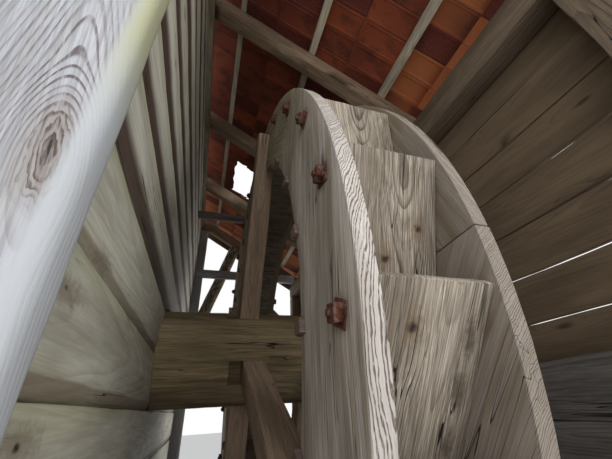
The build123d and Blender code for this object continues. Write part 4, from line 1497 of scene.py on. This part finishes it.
roof_run = (roof_high.x - roof_low.x) / DOWN_SLOPE.x
tile_rise = TILE_THICKNESS / (1.0 - TILE_LAP / tile_length)
tilt = Matrix.Rotation(-math.asin(tile_rise / tile_length), 4, "Y")
roof_frame = Matrix((DOWN_SLOPE, Y_AXIS, OFF_ROOF)).transposed().to_4x4()
print("A tile is", round(tile_length, 3), "m long and", round(tile_pitch, 3), "m wide")

# %% [markdown]
# The tiles are laid row by row from the eaves up, with the small slips of an old roof. The
# topmost row is cut to fit, and the tiles beside the hole are broken off unevenly.

# %% Laying the tiles
TILE_SLIP = 0.004
TILE_LIFT = 0.002
TILE_SKEW = math.radians(0.15)
CUT_SETBACK = 0.002
HOLE_MARGIN = 0.03
CUTTER_REACH = 0.5


def lay_tile(tile, head, column):
    """A copy of the tile in its place, a little slipped, lifted and skewed."""
    y = roof_low.y + tile_pitch * (column + 0.5)
    slip = random.uniform(-TILE_SLIP, 0.0)
    lift = random.uniform(0.0, TILE_LIFT)
    spot = Vector((roof_low.x, y, foot_z)) + DOWN_SLOPE * (head + slip) + OFF_ROOF * lift
    skew = Matrix.Rotation(random.uniform(-TILE_SKEW, TILE_SKEW), 4, "Z")
    mesh = tile.data.copy()
    mesh.transform(Matrix.Translation(spot) @ roof_frame @ tilt @ skew)
    return put_in("tile", mesh)


def cut_to_fit(piece):
    """Cuts off what would stick out over the roof's upper edge."""
    edit_all(piece)
    bpy.ops.mesh.bisect(plane_co=(roof_low.x + CUT_SETBACK, 0.0, 0.0), plane_no=X_AXIS,
                        clear_inner=True, use_fill=True)
    leave_edit()


def beside_hole(piece):
    """Whether a tile reaches into the hole of the roof, or nearly so."""
    low, high = box_of(piece)
    down = low.x < hole_high.x + HOLE_MARGIN and high.x > hole_low.x - HOLE_MARGIN
    return down and low.y < hole_high.y + HOLE_MARGIN and high.y > hole_low.y - HOLE_MARGIN


cutter = hole_cutter(hole_low, hole_high, roof_low.z, roof_high.z + CUTTER_REACH)
tile = model_tile(tile_length, tile_pitch - TILE_GAP)
laid = []
for row in range(math.ceil(roof_run / tile_gauge)):
    head = roof_run - tile_gauge * row - tile_length
    for column in range(TILE_COLUMNS):
        laid_tile = lay_tile(tile, head, column)
        if head < 0.0:
            cut_to_fit(laid_tile)
        if beside_hole(laid_tile) and not break_off(laid_tile, cutter):
            bpy.data.objects.remove(laid_tile)
            continue
        laid.append(laid_tile)
bpy.data.objects.remove(cutter)
bpy.data.objects.remove(tile)
print(len(laid), "tiles laid")
covering = join(laid, "clay_tiles")
lay_grain(covering, DOWN_SLOPE, Y_AXIS)
finish_piece(covering, "clay_tiles", "house", "clay_tile", CLAY, "roof_tiles")

# %% [markdown]
# The iron is all hand forged and rusty: two hoops round the ends of the shaft, the pins it
# turns on, and a square nut on a square washer outside each shroud for every bucket. Its rust is
# dark brown with orange in the pits, and lilac-grey spots are a painted highlight, a dull sheen where
# it is worn. Noise of three sizes makes it: broad patches, sheen spots and fine pits.

# %% Rusty iron
def rust_finish(name):
    """Forged iron under old rust, dark brown, with painted lilac-grey highlights on worn spots and orange in
    its pits.
    """
    material, tree = new_material(name)
    spot = spot_on(tree)
    broad = speckle(tree, spot, (34.0, 34.0, 34.0), 4.0, 0.65)
    fine = speckle(tree, spot, (260.0, 260.0, 260.0), 3.0, 0.7)
    worn = speckle(tree, spot, (75.0, 75.0, 75.0), 3.0, 0.6)
    base = blend(tree, between(tree, broad, 0.35, 0.62), colour(54, 38, 34), colour(104, 62, 44))
    # Painted highlight: lilac-grey spots stand in for the sheen of worn iron.
    base = blend(tree, times(tree, between(tree, worn, 0.50, 0.60), 0.6), base, colour(126, 108, 108))
    base = blend(tree, times(tree, between(tree, fine, 0.52, 0.66), 0.6), base, colour(158, 88, 50))
    finish_material(tree, base, times_plus(tree, fine, 0.25, 0.6),
                    times_plus(tree, fine, 0.6, broad), 0.0015, 0.25)
    return material


RUST = rust_finish("rusty_iron")
print("Rusty iron has", len(RUST.node_tree.nodes), "nodes")

# %% [markdown]
# One bolt is modelled from a washer, a nut and the end of the bolt, standing up from the
# ground, and one square wooden peg. Each is sunk a little into the wood, so that none floats
# over its uneven face. The sizes are estimates, read off the photograph beside the planks.

# %% One bolt and one peg
WASHER_SIDE = 0.060
WASHER_THICKNESS = 0.005
NUT_SIDE = 0.041
NUT_HEIGHT = 0.021
NUT_TURN = math.radians(14.0)
BOLT_DIAMETER = 0.018
BOLT_SIDES = 16
BOLT_REACH = 0.008
BOLT_ROOT = 0.004
SEAT = 0.001
PEG_SIDE = 0.046
PEG_REACH = 0.020
PEG_SEAT = 0.002


def model_bolt():
    """A washer, a nut and a bolt end that stand up from z = 0."""
    half = WASHER_SIDE / 2
    washer = block("washer", (-half, -half, -SEAT), (half, half, WASHER_THICKNESS))
    wear(washer, corner=0.001, waves=0.0, marks=0.001)
    half = NUT_SIDE / 2
    top = WASHER_THICKNESS + NUT_HEIGHT
    nut = block("nut", (-half, -half, WASHER_THICKNESS - SEAT), (half, half, top))
    nut.data.transform(Matrix.Rotation(NUT_TURN, 4, "Z"))
    wear(nut, corner=0.003, waves=0.0, marks=0.001)
    bpy.ops.object.select_all(action="DESELECT")
    depth = BOLT_REACH + BOLT_ROOT
    bpy.ops.mesh.primitive_cylinder_add(vertices=BOLT_SIDES, radius=BOLT_DIAMETER / 2, depth=depth,
                                        location=(0.0, 0.0, top - BOLT_ROOT + depth / 2))
    stem = bpy.context.active_object
    settle(stem)
    wear(stem, corner=0.002, waves=0.0, marks=0.0)
    return join([washer, nut, stem], "bolt")


def model_peg():
    """The square end of a wooden peg, with its grain towards the eye."""
    half = PEG_SIDE / 2
    peg = block("peg", (-half, -half, -PEG_SEAT), (half, half, PEG_REACH))
    slice_up(peg, X_AXIS, PEG_SIDE / 3)
    slice_up(peg, Y_AXIS, PEG_SIDE / 3)
    wear(peg, corner=0.005, waves=0.0, marks=0.010)
    lay_grain(peg, Z_AXIS, X_AXIS)
    return peg


print("A nut is", NUT_SIDE, "m wide on a washer of", WASHER_SIDE, "m")

# %% [markdown]
# Bolts and pegs are copied to every bucket, on the outer faces of both shrouds, each turned a
# little from its neighbours. The pegs sit near the inner edge. Hoops and pins keep their packed
# shapes and get the rust alone.

# %% Iron and pegs in place
PEG_CIRCLE = 1.242
PEG_ANGLE = math.radians(-4.4)
CROOKED = 0.5


def on_shrouds(model, name, slot, material, circle, angle):
    """Copies of a small part at every bucket, on the outer faces of both shrouds."""
    made = []
    for node, side in (("left_shroud", -1.0), ("right_shroud", 1.0)):
        low, high = packed_box(node)
        face = low.x if side < 0.0 else high.x
        upright = Matrix.Rotation(side * math.pi / 2, 4, "Y")
        for index in range(NUT_COUNT):
            turn = angle + 2.0 * math.pi * index / NUT_COUNT
            seat = Matrix.Translation((face, AXIS.y - circle, AXIS.z))
            crooked = Matrix.Rotation(random.uniform(-CROOKED, CROOKED), 4, "Z")
            mesh = model.data.copy()
            mesh.transform(turned(turn) @ seat @ upright @ crooked)
            made.append(put_in(name, mesh))
    bpy.data.objects.remove(model)
    return finish_piece(join(made, name), name, "wheel", slot, material)


PEG_WOOD = timber("peg_wood", colour(134, 116, 108), colour(84, 68, 62), colour(114, 98, 88),
                  ring=0.004, contrast=0.6, fibre=0.6, cracks=1.0, relief=0.002)
on_shrouds(model_bolt(), "shroud_bolts", "iron", RUST, NUT_CIRCLE, NUT_ANGLE)
on_shrouds(model_peg(), "shroud_pegs", "wheel_wood", PEG_WOOD, PEG_CIRCLE, PEG_ANGLE)
for node in ("shaft_hoops", "inner_gudgeon", "outer_gudgeon"):
    metal = frame["nodes"][node]
    metal.data.materials.clear()
    metal.data.materials.append(RUST)
